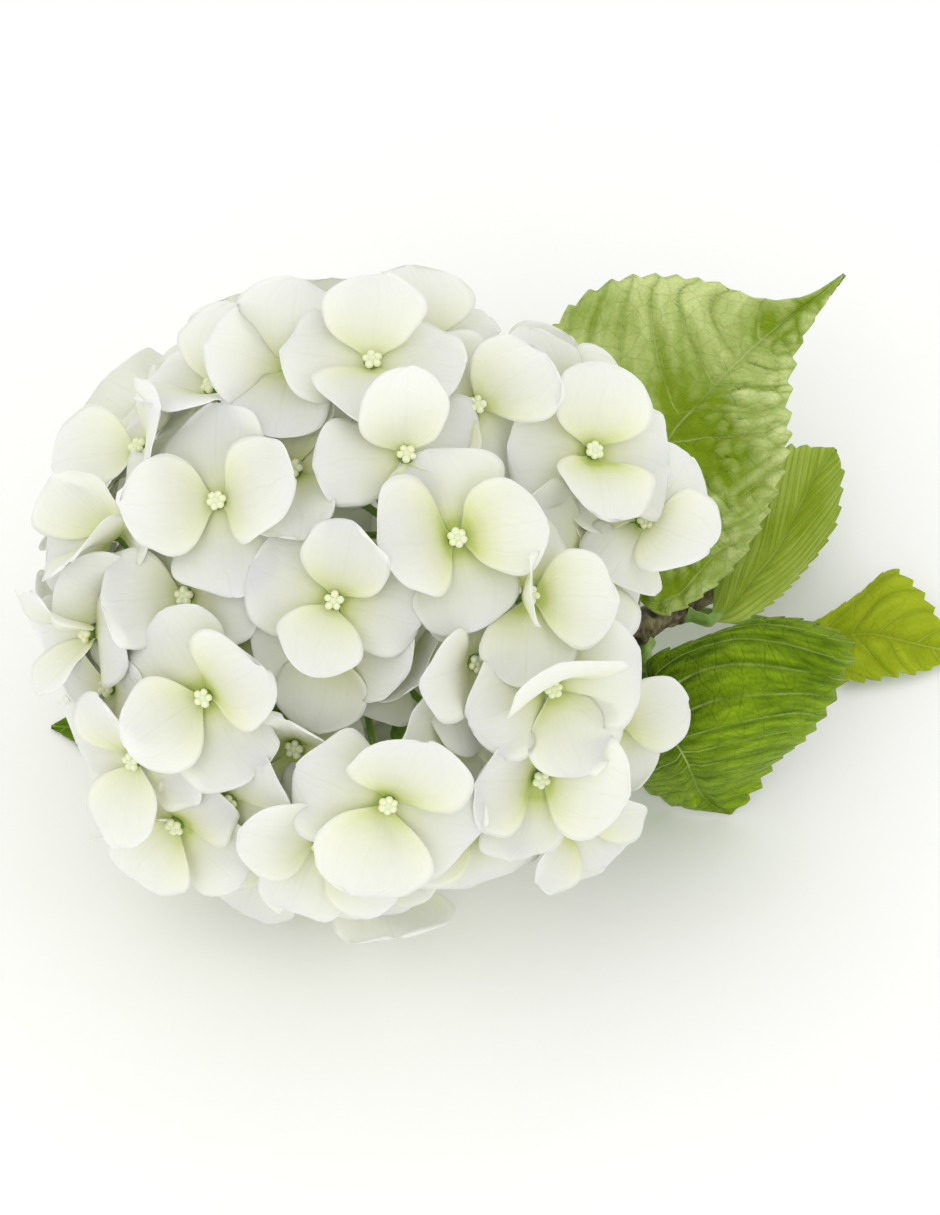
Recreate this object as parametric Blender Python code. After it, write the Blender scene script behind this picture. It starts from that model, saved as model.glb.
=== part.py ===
"""A cut mophead hydrangea lying on a table: one round head of four-sepalled florets on a green
branching stalk, five leaves, and the short woody stem that carries them.

Lengths are millimetres until a mesh is made, and metres in Blender. The head's hub stands above
the ground point (0, 0), and everything else is placed from there. The table is z = 0.
"""

import math

import bmesh
import bpy
from mathutils import Matrix, Vector
from mathutils.bvhtree import BVHTree

MM = 0.001
COLLECTION_NAME = "cut_hydrangea"

# Where the whole stem stands over the part's origin, which is the middle of its footprint.
GROUND_POINT = Vector((-44.0, -12.7, -0.1))

# The head: a ball of florets about its hub, pressed a little flat where it lies on the table.
HUB = Vector((0.0, 0.0, 78.0))
SHOWING_TILT = 55.0
FACE_HEIGHT = 70.0
FACE_REACH = 88.0
FACE_POWER = 2.2
BACK_RADIUS = 73.0
BACK_SPACING = 31.5
BACK_CLEARANCE = 22.7
BACK_LENGTH = 25.0
BACK_TURN = 137.5
STEM_SIDE = Vector((0.87, 0.10, -0.48)).normalized()
STEM_SIDE_CLEAR = 40.0
PRESS_FLOOR = 1.8
PRESS_DEPTH = 9.0

# One floret: four sepals round a small throat, with a bud-like button on it.
THROAT_RADIUS = 2.6
SEPAL_THICKNESS = 0.6
SEPAL_HALF_WIDTH = 11.0
SEPAL_CUP = 2.2
SEPAL_BOW = 13.0
BUTTON_HEIGHT = 2.4
BUTTON_TAPER = 0.8
NECK_LENGTH = 3.5
NECK_RADIUS = 1.1
PEDICEL_RADIUS = 0.75
FORK_RADIUS = 1.1
FORK_LENGTH = 7.0
GAP = 0.3

# The green stalk: rays from the hub, each ending in a knob where the pedicels sit.
HUB_RADIUS = 8.0
RAY_RADIUS = 2.3
KNOB_DISTANCE = 38.0
KNOB_RADIUS = 4.4
KNOB_COUNT = 15
PEDUNCLE_RADIUS = 3.6

# The woody stem and the leaves on it.
STEM_RADIUS = 4.4
LEAF_THICKNESS = 0.9
PETIOLE_RADIUS = 1.7

# The florets on the side of the head that faces up and forward, outermost layer first.
# bearing: degrees clockwise from the top of that side. reach: mm from its middle.
# sunk: mm below its face. lean: degrees that the floret looks outward, along its bearing.
# turn: degrees anticlockwise from the right to one of its sepals. length: mm.
SHOWING_FLORETS = (
    (290, 3, 0, 2, 70, 23.5),
    (309, 42, 0, 20, 5, 26.0),
    (59, 33, 0, 14, 15, 25.0),
    (58, 75, 0, 30, 83, 24.5),
    (87, 47, -2, 20, 0, 24.0),
    (168, 52, -2, 22, 70, 26.5),
    (237, 43, 0, 22, 30, 25.0),
    (6, 63, 0, 28, 85, 24.5),
    (22, 41, -1, 27, 95, 25.5),
    (112, 57, 0, 22, 18, 26.0),
    (74, 80, 1, 32, 45, 24.0),
    (273, 41, 5, 24, 5, 23.0),
    (347, 63, 4, 30, 87, 25.0),
    (132, 67, 4, 30, -15, 24.5),
    (114, 36, 5, 34, 100, 24.0),
    (339, 37, 5, 22, 100, 23.5),
    (186, 62, 3, 32, 70, 25.0),
    (149, 67, 3, 28, 5, 26.0),
    (138, 44, 8, 20, 0, 22.5),
    (197, 11, 9, 8, 78, 23.5),
    (234, 68, 4, 48, 75, 24.0),
    (79, 63, 9, 30, 58, 25.0),
    (33, 61, 7, 30, 40, 24.0),
    (46, 73, 9, 36, 19, 23.0),
    (15, 69, 10, 42, 13, 24.0),
    (328, 66, 7, 44, 84, 23.5),
    (321, 58, 6, 36, 74, 23.0),
    (307, 67, 5, 42, 5, 24.0),
    (287, 63, 5, 46, 10, 24.0),
    (270, 57, 9, 38, 30, 22.5),
    (264, 67, 6, 60, 80, 23.0),
    (251, 65, 9, 50, 6, 21.5),
    (218, 72, 6, 48, 48, 24.0),
    (211, 59, 7, 34, 64, 23.0),
    (200, 39, 11, 20, 85, 23.0),
    (176, 68, 10, 44, 10, 22.5),
    (114, 76, 9, 40, 16, 21.0),
    (136, 20, 16, 4, 50, 20.0),
    (258, 28, 11, 14, 20, 22.0),
    (134, 82, 9, 52, 30, 21.0),
)

# Leaves. petiole: the points along its middle, from its seat on the woody stem to the blade.
# blade: across it, from its foot to its tip, the midrib's point with the left and right margins'
# points beside it. The upper side looks up with left on the left hand of one facing the tip.
LEAVES = {
    "leaf_upper": dict(
        petiole=((76.4, 22.7, 45.4), (77, 25.5, 46.5)),
        blade=(((78, 29, 48.5), (70, 31, 50), (86, 19, 45.5)),
               ((79, 43, 52), (56, 58, 58), (103.5, 36, 43)),
               ((85.5, 69, 55.5), (49, 82, 63), (114.5, 56, 45.5)),
               ((96, 84, 57), (57, 105, 66), (119.5, 74.5, 50)),
               ((107, 96, 60), (74.5, 116.5, 69.5), (120, 89.5, 53)),
               ((116.5, 105, 61.5), (96, 116.5, 68), (122, 99, 56.5)),
               ((123.5, 111.5, 62), (112, 113.5, 64), (126, 106.5, 59)),
               ((130, 117, 62.5), (125.5, 116, 62.5), (131.5, 114.5, 61)),
               ((136.5, 123, 63), (136, 123.5, 63), (137, 122.5, 63)))),
    "leaf_front": dict(
        petiole=((79.8, 12.2, 40.0), (79.5, 6, 41)),
        blade=(((80, -3, 46), (85, 7, 48), (75, -5, 42)),
               ((83, -14, 49), (113.5, 14.5, 51.5), (68, -12, 34)),
               ((86, -21, 46), (133.5, 7.5, 52.5), (66, -12, 24)),
               ((90, -23, 37), (132.5, -1, 43), (70, -10, 15)),
               ((93, -22, 24), (124, -7, 29), (75, -9, 8)),
               ((95, -19, 13), (115, -10.5, 17), (84, -12, 3.5)),
               ((98.5, -17.5, 5.5), (109, -14, 8.5), (93, -15, 2.5)),
               ((103.5, -16.5, 1.5), (104, -16.5, 1.6), (103, -16.5, 1.4)))),
    "leaf_middle": dict(
        petiole=((93.6, 28.6, 31.6), (97.5, 27.5, 31)),
        blade=(((103, 32, 30), (99, 36, 32), (106.5, 31, 25.5)),
               ((110, 42, 30), (99, 49, 36), (116.5, 42, 20.5)),
               ((117, 52, 30), (103, 61, 40), (126, 55, 17.5)),
               ((122, 62, 31), (109, 71.5, 41.5), (133, 67.5, 19)),
               ((126.5, 72.5, 31.5), (118, 79, 40), (136, 77, 22)),
               ((130.5, 80, 32), (126, 83, 36.5), (136, 82, 27.5)),
               ((134, 86, 31.5), (133.5, 86.5, 31.5), (134.5, 85.5, 31.5)))),
    "leaf_right": dict(
        petiole=((84.0, 35.7, 31.4), (81.5, 38, 28), (84, 40.5, 21), (92, 42, 15.5),
                 (103, 42, 12.5), (114, 41, 11), (121, 39.5, 10)),
        blade=(((129.5, 38, 9.5), (129.5, 43, 10.5), (129.5, 34, 7.5)),
               ((136.5, 37.5, 10), (139.5, 49.5, 11.5), (136, 26.5, 5)),
               ((143, 38, 10), (149, 56.5, 14.5), (143, 27, 3.5)),
               ((150, 37, 9), (156, 52, 13), (151, 29, 3)),
               ((158, 36, 7), (161.5, 44.5, 9.5), (158.5, 30.5, 2.5)),
               ((165, 36, 4.5), (165, 39, 5), (165, 33, 3)),
               ((172, 36, 2), (172, 36.5, 2), (172, 35.5, 2)))),
    "leaf_under": dict(
        petiole=((55.4, 9.4, 46.2), (54.5, 8, 40), (50, 5.5, 26)),
        blade=(((44, 4, 14), (44, -4, 14), (44, 12, 14)),
               ((35, 3, 5), (34, -20, 6), (36, 25, 6)),
               ((24, 3, 1.4), (23, -29, 2), (24, 35, 2)),
               ((6, 4, 0.6), (5, -31, 1), (6, 40, 1)),
               ((-18, 7, 0.6), (-19, -27, 1), (-17, 41, 1)),
               ((-42, 9, 0.6), (-43, -14, 1), (-41, 33, 1)),
               ((-60, 11, 0.6), (-60, -1, 0.8), (-59, 23, 0.8)),
               ((-74, 12.5, 0.6), (-74, 5, 0.8), (-74, 20, 0.8)),
               ((-84, 13, 0.6), (-84, 12.4, 0.6), (-84, 13.6, 0.6)))),
}

# The woody stem's middle line and how thick it is there, against STEM_RADIUS.
STEM_ROUTE = ((41.0, 7.0, 58.0, 0.85), (52, 8.9, 52.7, 0.88), (64, 11.5, 48.5, 0.95),
              (73, 14.5, 45.5, 1.12), (78, 18.0, 42.2, 1.15), (83, 24, 37.5, 0.95),
              (89, 32, 31.5, 1.15), (94, 38.5, 27, 0.95), (104, 52, 18.5, 0.95),
              (114, 66, 10.5, 0.98), (122, 77, 4.9, 1.0))


def clear_scene():
    for obj in list(bpy.data.objects):
        bpy.data.objects.remove(obj, do_unlink=True)


def new_collection(name):
    found = bpy.data.collections.new(name)
    bpy.context.scene.collection.children.link(found)
    return found


def new_material(name, colour, roughness):
    made = bpy.data.materials.new(name)
    made.use_nodes = True
    shader = made.node_tree.nodes["Principled BSDF"]
    shader.inputs["Base Color"].default_value = (*colour, 1.0)
    shader.inputs["Roughness"].default_value = roughness
    shader.inputs["Metallic"].default_value = 0.0
    return made


def placed(point):
    """A point of the plant, in the part's frame and in metres."""
    return (Vector(point) + GROUND_POINT) * MM


def new_object(name, data, material, collection):
    obj = bpy.data.objects.new(name, data)
    data.materials.append(material)
    collection.objects.link(obj)
    return obj


def object_from(bm, name, material, collection):
    """The bmesh, in millimetres, as an object of the part."""
    bmesh.ops.translate(bm, verts=bm.verts, vec=GROUND_POINT)
    bmesh.ops.scale(bm, verts=bm.verts, vec=(MM, MM, MM))
    bmesh.ops.recalc_face_normals(bm, faces=bm.faces)
    mesh = bpy.data.meshes.new(name)
    bm.to_mesh(mesh)
    bm.free()
    mesh.shade_smooth()
    mesh.set_sharp_from_angle(angle=math.radians(50))
    return new_object(name, mesh, material, collection)


def as_helper(obj):
    obj.hide_render = True
    obj.display_type = "WIRE"
    return obj


# ---------------------------------------------------------------- directions about the hub

RIGHT = Vector((1.0, 0.0, 0.0))
UP = Vector((0.0, math.sin(math.radians(SHOWING_TILT)), math.cos(math.radians(SHOWING_TILT))))
OUT = RIGHT.cross(UP)


def across_the_face(bearing):
    angle = math.radians(bearing)
    return math.sin(angle) * RIGHT + math.cos(angle) * UP


def face_height(reach):
    return FACE_HEIGHT * (1.0 - (reach / FACE_REACH) ** FACE_POWER) ** (1.0 / FACE_POWER)


def spread_over_a_ball(count):
    """Directions evenly spread over a ball, on a golden-angle spiral."""
    golden_angle = math.pi * (3.0 - math.sqrt(5.0))
    for step in range(count):
        height = 1.0 - 2.0 * (step + 0.5) / count
        ring = math.sqrt(1.0 - height * height)
        yield Vector((ring * math.cos(step * golden_angle), ring * math.sin(step * golden_angle), height))


def pressed(point):
    """The point as the table leaves it: what would sink lower bends to lie along the table."""
    edge = PRESS_FLOOR + PRESS_DEPTH
    if point.z >= edge:
        return point
    lowered = PRESS_FLOOR + PRESS_DEPTH * math.exp((point.z - edge) / PRESS_DEPTH)
    return Vector((point.x, point.y, lowered))


# ---------------------------------------------------------------- florets


class Floret:
    """Where one floret is, which way it looks, and how its four sepals lie."""

    def __init__(self, centre, axis, turn, length, usual_lift):
        self.centre = pressed(centre)
        self.axis = axis.normalized()
        start = math.cos(math.radians(turn)) * RIGHT + math.sin(math.radians(turn)) * UP
        if abs(start.dot(self.axis)) > 0.9:
            start = OUT
        self.first = (start - start.dot(self.axis) * self.axis).normalized()
        self.second = self.axis.cross(self.first)
        self.length = length
        self.usual_lift = usual_lift
        self.lifts = [usual_lift] * 4
        self.lengths = [length] * 4
        self.stalk = []

    def direction(self, quarter_turns):
        angle = math.radians(90.0 * quarter_turns)
        return math.cos(angle) * self.first + math.sin(angle) * self.second

    def throat_point(self, quarter_turns):
        return pressed(self.centre + THROAT_RADIUS * self.direction(quarter_turns))

    def sepal_point(self, sepal, lift, length, along, across):
        """A point of a sepal: along runs from 0 at the throat to 1 at the tip, across from -1 to 1.

        The sepal's middle line is an arc whose chord rises by lift; its sides are cupped."""
        outward = self.direction(sepal)
        sideways = self.direction(sepal + 1)
        bow = math.radians(SEPAL_BOW)
        rise = math.radians(lift)
        slope = rise + bow * (1.0 - 2.0 * along)
        run = length - THROAT_RADIUS
        forward = THROAT_RADIUS + run * (math.sin(rise + bow) - math.sin(slope)) / (2.0 * bow)
        height = run * (math.cos(slope) - math.cos(rise + bow)) / (2.0 * bow)
        normal = math.cos(slope) * self.axis - math.sin(slope) * outward
        lateral = across * half_width(along, length)
        cup = SEPAL_CUP * (lateral / SEPAL_HALF_WIDTH) ** 2
        point = self.centre + forward * outward + height * self.axis
        return pressed(point + lateral * sideways + cup * normal)


SEPAL_STATIONS = (0.34, 0.72)
SEPAL_WIDTHS = ((0.0, 0.17), (0.34, 0.88), (0.55, 1.0), (0.72, 0.92), (1.0, 0.0))


def half_width(along, length):
    """Half a sepal's width: broad past its middle, drawn in to a blunt point."""
    for (low, low_width), (high, high_width) in zip(SEPAL_WIDTHS, SEPAL_WIDTHS[1:]):
        if along <= high:
            share = (along - low) / (high - low)
            width = low_width + share * (high_width - low_width)
            return width * SEPAL_HALF_WIDTH * length / 24.0
    return 0.0


def showing_florets():
    for bearing, reach, sunk, lean, turn, length in SHOWING_FLORETS:
        side = across_the_face(bearing)
        centre = HUB + reach * side + (face_height(reach) - sunk) * OUT
        angle = math.radians(lean)
        axis = math.sin(angle) * side + math.cos(angle) * OUT
        yield Floret(centre, axis, turn, length, usual_lift=26.0)


def back_florets(showing):
    """The florets that cover the rest of the ball, but for the opening that the stem comes through."""
    count = round(4.0 * math.pi * BACK_RADIUS ** 2 / (0.866 * BACK_SPACING ** 2))
    closest = math.cos(math.radians(STEM_SIDE_CLEAR))
    made = []
    for step, direction in enumerate(spread_over_a_ball(count)):
        centre = HUB + BACK_RADIUS * direction
        if direction.dot(STEM_SIDE) > closest:
            continue
        if any((other.centre - centre).length < BACK_CLEARANCE for other in showing):
            continue
        made.append(Floret(centre, direction, BACK_TURN * step, BACK_LENGTH, usual_lift=14.0))
    return made


def clustered(florets, knobs):
    """The florets that share a nearest knob, for each knob that has any."""
    members = [[] for knob in knobs]
    for floret in florets:
        nearest = min(range(len(knobs)), key=lambda index: (knobs[index] - floret.centre).length)
        members[nearest].append(floret)
    return [cluster for cluster in members if cluster]


def knob_centres():
    ways = [way for way in spread_over_a_ball(KNOB_COUNT) if way.dot(STEM_SIDE) < 0.75]
    return [HUB + KNOB_DISTANCE * way for way in ways]


def give_stalks(singles, clusters, knobs):
    """Each floret's pedicel runs from a seat on its nearest knob. A cluster's pedicels fork from one."""
    for floret in singles:
        knob = min(knobs, key=lambda at: (at - floret.centre).length)
        way = (floret.centre - knob).normalized()
        neck = floret.centre - NECK_LENGTH * way
        floret.stalk = [(neck, NECK_RADIUS), (knob + (KNOB_RADIUS + GAP) * way, PEDICEL_RADIUS)]
    for cluster in clusters:
        middle = sum((floret.centre for floret in cluster), Vector()) / len(cluster)
        knob = min(knobs, key=lambda at: (at - middle).length)
        way = (middle - knob).normalized()
        seat = knob + (KNOB_RADIUS + GAP) * way
        fork = seat + FORK_LENGTH * way
        for floret in cluster:
            neck = floret.centre - NECK_LENGTH * (floret.centre - fork).normalized()
            floret.stalk = [(neck, NECK_RADIUS), (fork - 0.6 * way, 0.8 * FORK_RADIUS)]
        cluster[0].stalk = [cluster[0].stalk[0], (fork, FORK_RADIUS), (seat, FORK_RADIUS)]


# ---------------------------------------------------------------- room for every sepal


class Obstacles:
    """All the surfaces placed so far, in millimetres about the ground point."""

    def __init__(self):
        self.points = []
        self.faces = []
        self.owners = []

    def add(self, points, faces, owner=None):
        start = len(self.points)
        self.points += points
        self.faces += [tuple(start + index for index in face) for face in faces]
        self.owners += [owner] * len(faces)

    def add_object(self, obj):
        shown = obj.evaluated_get(bpy.context.evaluated_depsgraph_get())
        mesh = shown.to_mesh()
        points = [obj.matrix_world @ corner.co / MM - GROUND_POINT for corner in mesh.vertices]
        self.add(points, [tuple(face.vertices) for face in mesh.polygons])
        shown.to_mesh_clear()

    def tree(self, of=None, but=None):
        """A search tree of one owner's surfaces, or of all but one owner's."""
        kept = [
            face for face, owner in zip(self.faces, self.owners)
            if (owner is of if of else owner is not but)
        ]
        return BVHTree.FromPolygons(self.points, kept)


def tube_faces(start, end, radius, sides=6):
    """A closed-sided tube between two points, as points and faces."""
    along = (end - start).normalized()
    side = along.orthogonal().normalized()
    points = []
    for centre in (start, end):
        for step in range(sides):
            turn = Matrix.Rotation(math.tau * step / sides, 3, along)
            points.append(centre + radius * (turn @ side))
    faces = [(i, (i + 1) % sides, sides + (i + 1) % sides, sides + i) for i in range(sides)]
    return points, faces + [tuple(range(sides)), tuple(range(sides, 2 * sides))]


def sepal_rows(floret, sepal, lift, length, stations):
    return [
        [floret.sepal_point(sepal, lift, length, along, across) for across in (-1.0, 0.0, 1.0)]
        for along in stations
    ]


def sepal_slab(floret, sepal, lift, length, margin, start):
    """The sepal from start to its tip, with margin of air on both its faces."""
    stations = [start + share * (0.92 - start) for share in (0.0, 0.25, 0.5, 0.75, 1.0)]
    rows = sepal_rows(floret, sepal, lift, length, stations)
    tip = floret.sepal_point(sepal, lift, length, 1.02, 0.0)
    rise = math.radians(lift)
    normal = math.cos(rise) * floret.axis - math.sin(rise) * floret.direction(sepal)
    if floret.centre.z < 2.5 * PRESS_DEPTH:
        normal = Vector((0.0, 0.0, 1.0)) if abs(normal.z) > 0.35 else normal
    sheet = [point for row in rows for point in row] + [tip]
    points = [point + margin * normal for point in sheet] + [point - margin * normal for point in sheet]
    faces = []
    for row in range(len(rows) - 1):
        for column in (0, 1):
            corner = 3 * row + column
            faces.append((corner, corner + 1, corner + 4, corner + 3))
    last = 3 * (len(rows) - 1)
    faces += [(last, last + 1, len(sheet) - 1), (last + 1, last + 2, len(sheet) - 1)]
    under = [tuple(len(sheet) + index for index in reversed(face)) for face in faces]
    rim = [3 * row for row in range(len(rows))] + [len(sheet) - 1]
    rim += [3 * row + 2 for row in reversed(range(len(rows)))] + [1]
    walls = [
        (first, second, len(sheet) + second, len(sheet) + first)
        for first, second in zip(rim, rim[1:] + rim[:1])
    ]
    return points, faces + under + walls


def sepal_sheet(floret, sepal, lift, length):
    """The sepal's middle surface, as points and faces, from its foot to its tip."""
    rows = sepal_rows(floret, sepal, lift, length, (0.05, *SEPAL_STATIONS))
    points = [point for row in rows for point in row]
    points.append(floret.sepal_point(sepal, lift, length, 1.0, 0.0))
    faces = [(0, 1, 4, 3), (1, 2, 5, 4), (3, 4, 7, 6), (4, 5, 8, 7), (6, 7, 9), (7, 8, 9)]
    return points, faces


LIFT_STEPS = (0, 5, -5, 10, -10, 15, -15, 20, -20, 26, -26, 32, -32, 38, -38, 44, -45, 50, 56)
SHORTENINGS = (1.0, 0.92, 0.84, 0.76, 0.68, 0.6, 0.5, 0.4)
SEPAL_MARGIN = SEPAL_THICKNESS + 1.6 * GAP
MOST_LIFT = 80.0


def lay_sepals(floret, obstacles):
    """Each sepal keeps its usual lift where it can, and else rises or falls until it clears."""
    others = obstacles.tree(but=floret)
    for sepal in range(4):
        own = obstacles.tree(of=floret)
        choices = [(share, step) for share in SHORTENINGS for step in LIFT_STEPS]
        for share, step in choices:
            lift = floret.usual_lift + step
            length = share * floret.length
            if lift > MOST_LIFT:
                continue
            whole = sepal_slab(floret, sepal, lift, length, SEPAL_MARGIN, 0.0)
            if BVHTree.FromPolygons(*whole).overlap(others):
                continue
            outer = sepal_slab(floret, sepal, lift, length, SEPAL_MARGIN, 0.22)
            if not BVHTree.FromPolygons(*outer).overlap(own):
                break
        else:
            raise ValueError(f"floret {floret.name} has no room for sepal {sepal}")
        floret.lifts[sepal] = lift
        floret.lengths[sepal] = length
        obstacles.add(*sepal_sheet(floret, sepal, lift, length), owner=floret)


def stalk_obstacles(floret):
    start, start_radius = floret.centre, 0.8 * THROAT_RADIUS
    for end, radius in floret.stalk:
        yield tube_faces(start, end, max(start_radius, radius) + 0.5 * GAP, sides=8)
        start, start_radius = end, radius


def button_obstacle(floret):
    top = floret.centre + (BUTTON_HEIGHT + SEPAL_THICKNESS) * floret.axis
    return tube_faces(floret.centre - SEPAL_THICKNESS * floret.axis, top, THROAT_RADIUS, sides=8)


# ---------------------------------------------------------------- meshes


def extruded_face(bm, face, centre, direction, radius):
    """Carries the face on to a new centre, turned to look along direction and sized to radius."""
    grown = bmesh.ops.extrude_discrete_faces(bm, faces=[face])["faces"][0]
    grown.normal_update()
    here = grown.calc_center_median()
    turn = grown.normal.rotation_difference(direction).to_matrix()
    bmesh.ops.rotate(bm, verts=grown.verts, cent=here, matrix=turn)
    wide = sum((corner.co - here).length for corner in grown.verts) / len(grown.verts)
    bmesh.ops.scale(bm, verts=grown.verts, vec=(radius / wide,) * 3, space=Matrix.Translation(-here))
    bmesh.ops.translate(bm, verts=grown.verts, vec=centre - here)
    return grown


def floret_bmesh(floret):
    """The floret as one grown piece: throat, four sepals, button and pedicel."""
    bm = bmesh.new()
    throat = bmesh.ops.create_circle(bm, cap_ends=True, segments=8, radius=THROAT_RADIUS)["verts"]
    for step, corner in enumerate(throat):
        corner.co = floret.throat_point(step / 2.0)
    for sepal in range(4):
        middle = throat[2 * sepal]
        rim = [throat[(2 * sepal - 1) % 8], middle, throat[2 * sepal + 1]]
        for along in SEPAL_STATIONS:
            rim = extruded_rim(bm, rim)
            rows = sepal_rows(floret, sepal, floret.lifts[sepal], floret.lengths[sepal], (along,))
            for corner, point in zip(rim, rows[0]):
                corner.co = point
        tip = extruded_rim(bm, rim)
        point = floret.sepal_point(sepal, floret.lifts[sepal], floret.lengths[sepal], 1.0, 0.0)
        bmesh.ops.pointmerge(bm, verts=tip, merge_co=point)
    bmesh.ops.recalc_face_normals(bm, faces=bm.faces)
    middle_face = max(bm.faces, key=lambda face: len(face.verts))
    if middle_face.normal.dot(floret.axis) < 0.0:
        bmesh.ops.reverse_faces(bm, faces=bm.faces)
    bmesh.ops.solidify(bm, geom=bm.faces[:], thickness=SEPAL_THICKNESS)
    bmesh.ops.recalc_face_normals(bm, faces=bm.faces)
    disks = [face for face in bm.faces if len(face.verts) == 8]
    top = max(disks, key=lambda face: face.normal.dot(floret.axis))
    base = min(disks, key=lambda face: face.normal.dot(floret.axis))
    height = top.calc_center_median() + BUTTON_HEIGHT * floret.axis
    extruded_face(bm, top, height, floret.axis, BUTTON_TAPER * THROAT_RADIUS)
    here = base.calc_center_median()
    for end, radius in floret.stalk:
        base = extruded_face(bm, base, end, (end - here).normalized(), radius)
        here = end
    return bm


def extruded_rim(bm, rim):
    """Extrudes the two edges between three neighbouring corners, and gives the new three."""
    edges = [bm.edges.get((rim[0], rim[1])), bm.edges.get((rim[1], rim[2]))]
    grown = bmesh.ops.extrude_edge_only(bm, edges=edges)["geom"]
    corners = [item for item in grown if isinstance(item, bmesh.types.BMVert)]
    return [next(new for new in corners if (new.co - old.co).length < 1e-6) for old in rim]


def add_florets(singles, clusters, material, collection):
    for number, floret in enumerate(singles, 1):
        object_from(floret_bmesh(floret), f"floret_{number:02d}", material, collection)
    for number, cluster in enumerate(clusters, 1):
        name = f"floret_cluster_{number:02d}"
        first = object_from(floret_bmesh(cluster[0]), name, material, collection)
        if len(cluster) == 1:
            continue
        others = new_collection(name + "_others")
        for index, floret in enumerate(cluster[1:], 2):
            as_helper(object_from(floret_bmesh(floret), f"{name}_{index}", material, others))
        join_to(first, others)


def join_to(obj, pieces):
    union = obj.modifiers.new("joined", "BOOLEAN")
    union.operation = "UNION"
    union.solver = "EXACT"
    union.operand_type = "COLLECTION"
    union.collection = pieces


def cone_between(start, end, start_radius, end_radius, sides=8):
    bm = bmesh.new()
    bmesh.ops.create_cone(
        bm, cap_ends=True, segments=sides, radius1=start_radius, radius2=end_radius,
        depth=(end - start).length,
    )
    turn = (end - start).to_track_quat("Z", "Y").to_matrix().to_4x4()
    bmesh.ops.transform(bm, matrix=Matrix.Translation((start + end) / 2.0) @ turn, verts=bm.verts)
    return bm


def ball_at(centre, radius, segments, rings):
    bm = bmesh.new()
    bmesh.ops.create_uvsphere(bm, u_segments=segments, v_segments=rings, radius=radius)
    bmesh.ops.translate(bm, verts=bm.verts, vec=centre)
    return bm


def add_flower_stalk(knobs, material, collection):
    """The hub, its rays and their knobs, and the peduncle down to the woody stem."""
    pieces = new_collection("flower_stalk_pieces")
    stalk = object_from(ball_at(HUB, HUB_RADIUS, 10, 6), "flower_stalk", material, collection)
    for number, knob in enumerate(knobs, 1):
        ray = cone_between(HUB, knob, 1.3 * RAY_RADIUS, RAY_RADIUS)
        as_helper(object_from(ray, f"ray_{number}", material, pieces))
        ball = ball_at(knob, KNOB_RADIUS, 8, 5)
        as_helper(object_from(ball, f"knob_{number}", material, pieces))
    stem_top = Vector(STEM_ROUTE[0][:3])
    stem_way = (stem_top - HUB).normalized()
    peduncle = cone_between(HUB, stem_top - GAP * stem_way, PEDUNCLE_RADIUS, PEDUNCLE_RADIUS, 10)
    as_helper(object_from(peduncle, "peduncle", material, pieces))
    join_to(stalk, pieces)
    return stalk


def add_woody_stem(material, collection):
    curve = bpy.data.curves.new("woody_stem", "CURVE")
    curve.dimensions = "3D"
    curve.bevel_depth = STEM_RADIUS * MM
    curve.bevel_resolution = 3
    curve.use_fill_caps = True
    spline = curve.splines.new("POLY")
    spline.points.add(len(STEM_ROUTE) - 1)
    for point, (x, y, z, thickness) in zip(spline.points, STEM_ROUTE):
        point.co = (*placed((x, y, z)), 1.0)
        point.radius = thickness
    return new_object("woody_stem", curve, material, collection)


def smooth_between(values, at):
    """The values, as vectors, read on one smooth curve: at runs from 0 to their last index."""
    index = min(int(at), len(values) - 2)
    share = at - index
    before = values[max(index - 1, 0)]
    start, end = values[index], values[index + 1]
    after = values[min(index + 2, len(values) - 1)]
    bend = 2.0 * before - 5.0 * start + 4.0 * end - after
    turn = 3.0 * (start - end) + after - before
    return start + 0.5 * share * (end - before + share * (bend + share * turn))


LEAF_SIDES = 8
LEAF_ARCH = 0.06


def add_leaf(name, petiole, blade, material, collection):
    """A blade and its petiole in one, lofted through round sections and then thin lens shapes."""
    bm = bmesh.new()
    foot_side = (Vector(blade[0][2]) - Vector(blade[0][1])).normalized()
    route = [Vector(point) for point in petiole] + [Vector(blade[0][0])]
    rings = []
    for step, here in enumerate(route[:-1]):
        ahead = (route[step + 1] - route[max(step - 1, 0)]).normalized()
        side = (foot_side - foot_side.dot(ahead) * ahead).normalized()
        arms = PETIOLE_RADIUS * side
        rings.append(leaf_ring(bm, here, here - arms, here + arms, side.cross(ahead), 2.0 * PETIOLE_RADIUS))
    middles, lefts, rights = ([Vector(station[part]) for station in blade] for part in range(3))
    steps = 2 * (len(blade) - 1)
    for step in range(steps + 1):
        at = step / 2.0
        middle, left, right = (smooth_between(line, at) for line in (middles, lefts, rights))
        ahead = smooth_between(middles, min(at + 0.1, len(blade) - 1))
        ahead -= smooth_between(middles, max(at - 0.1, 0.0))
        normal = (right - left).cross(ahead).normalized()
        width = (right - left).length
        thick = LEAF_THICKNESS if step else 2.0 * PETIOLE_RADIUS
        rings.append(leaf_ring(bm, middle, left, right, normal, min(thick, width)))
    for first, second in zip(rings, rings[1:]):
        edges = [edge for ring in (first, second) for edge in ring_edges(bm, ring)]
        bmesh.ops.bridge_loops(bm, edges=edges)
    bm.faces.new(rings[0])
    bm.faces.new(rings[-1])
    return object_from(bm, name, material, collection)


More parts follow.
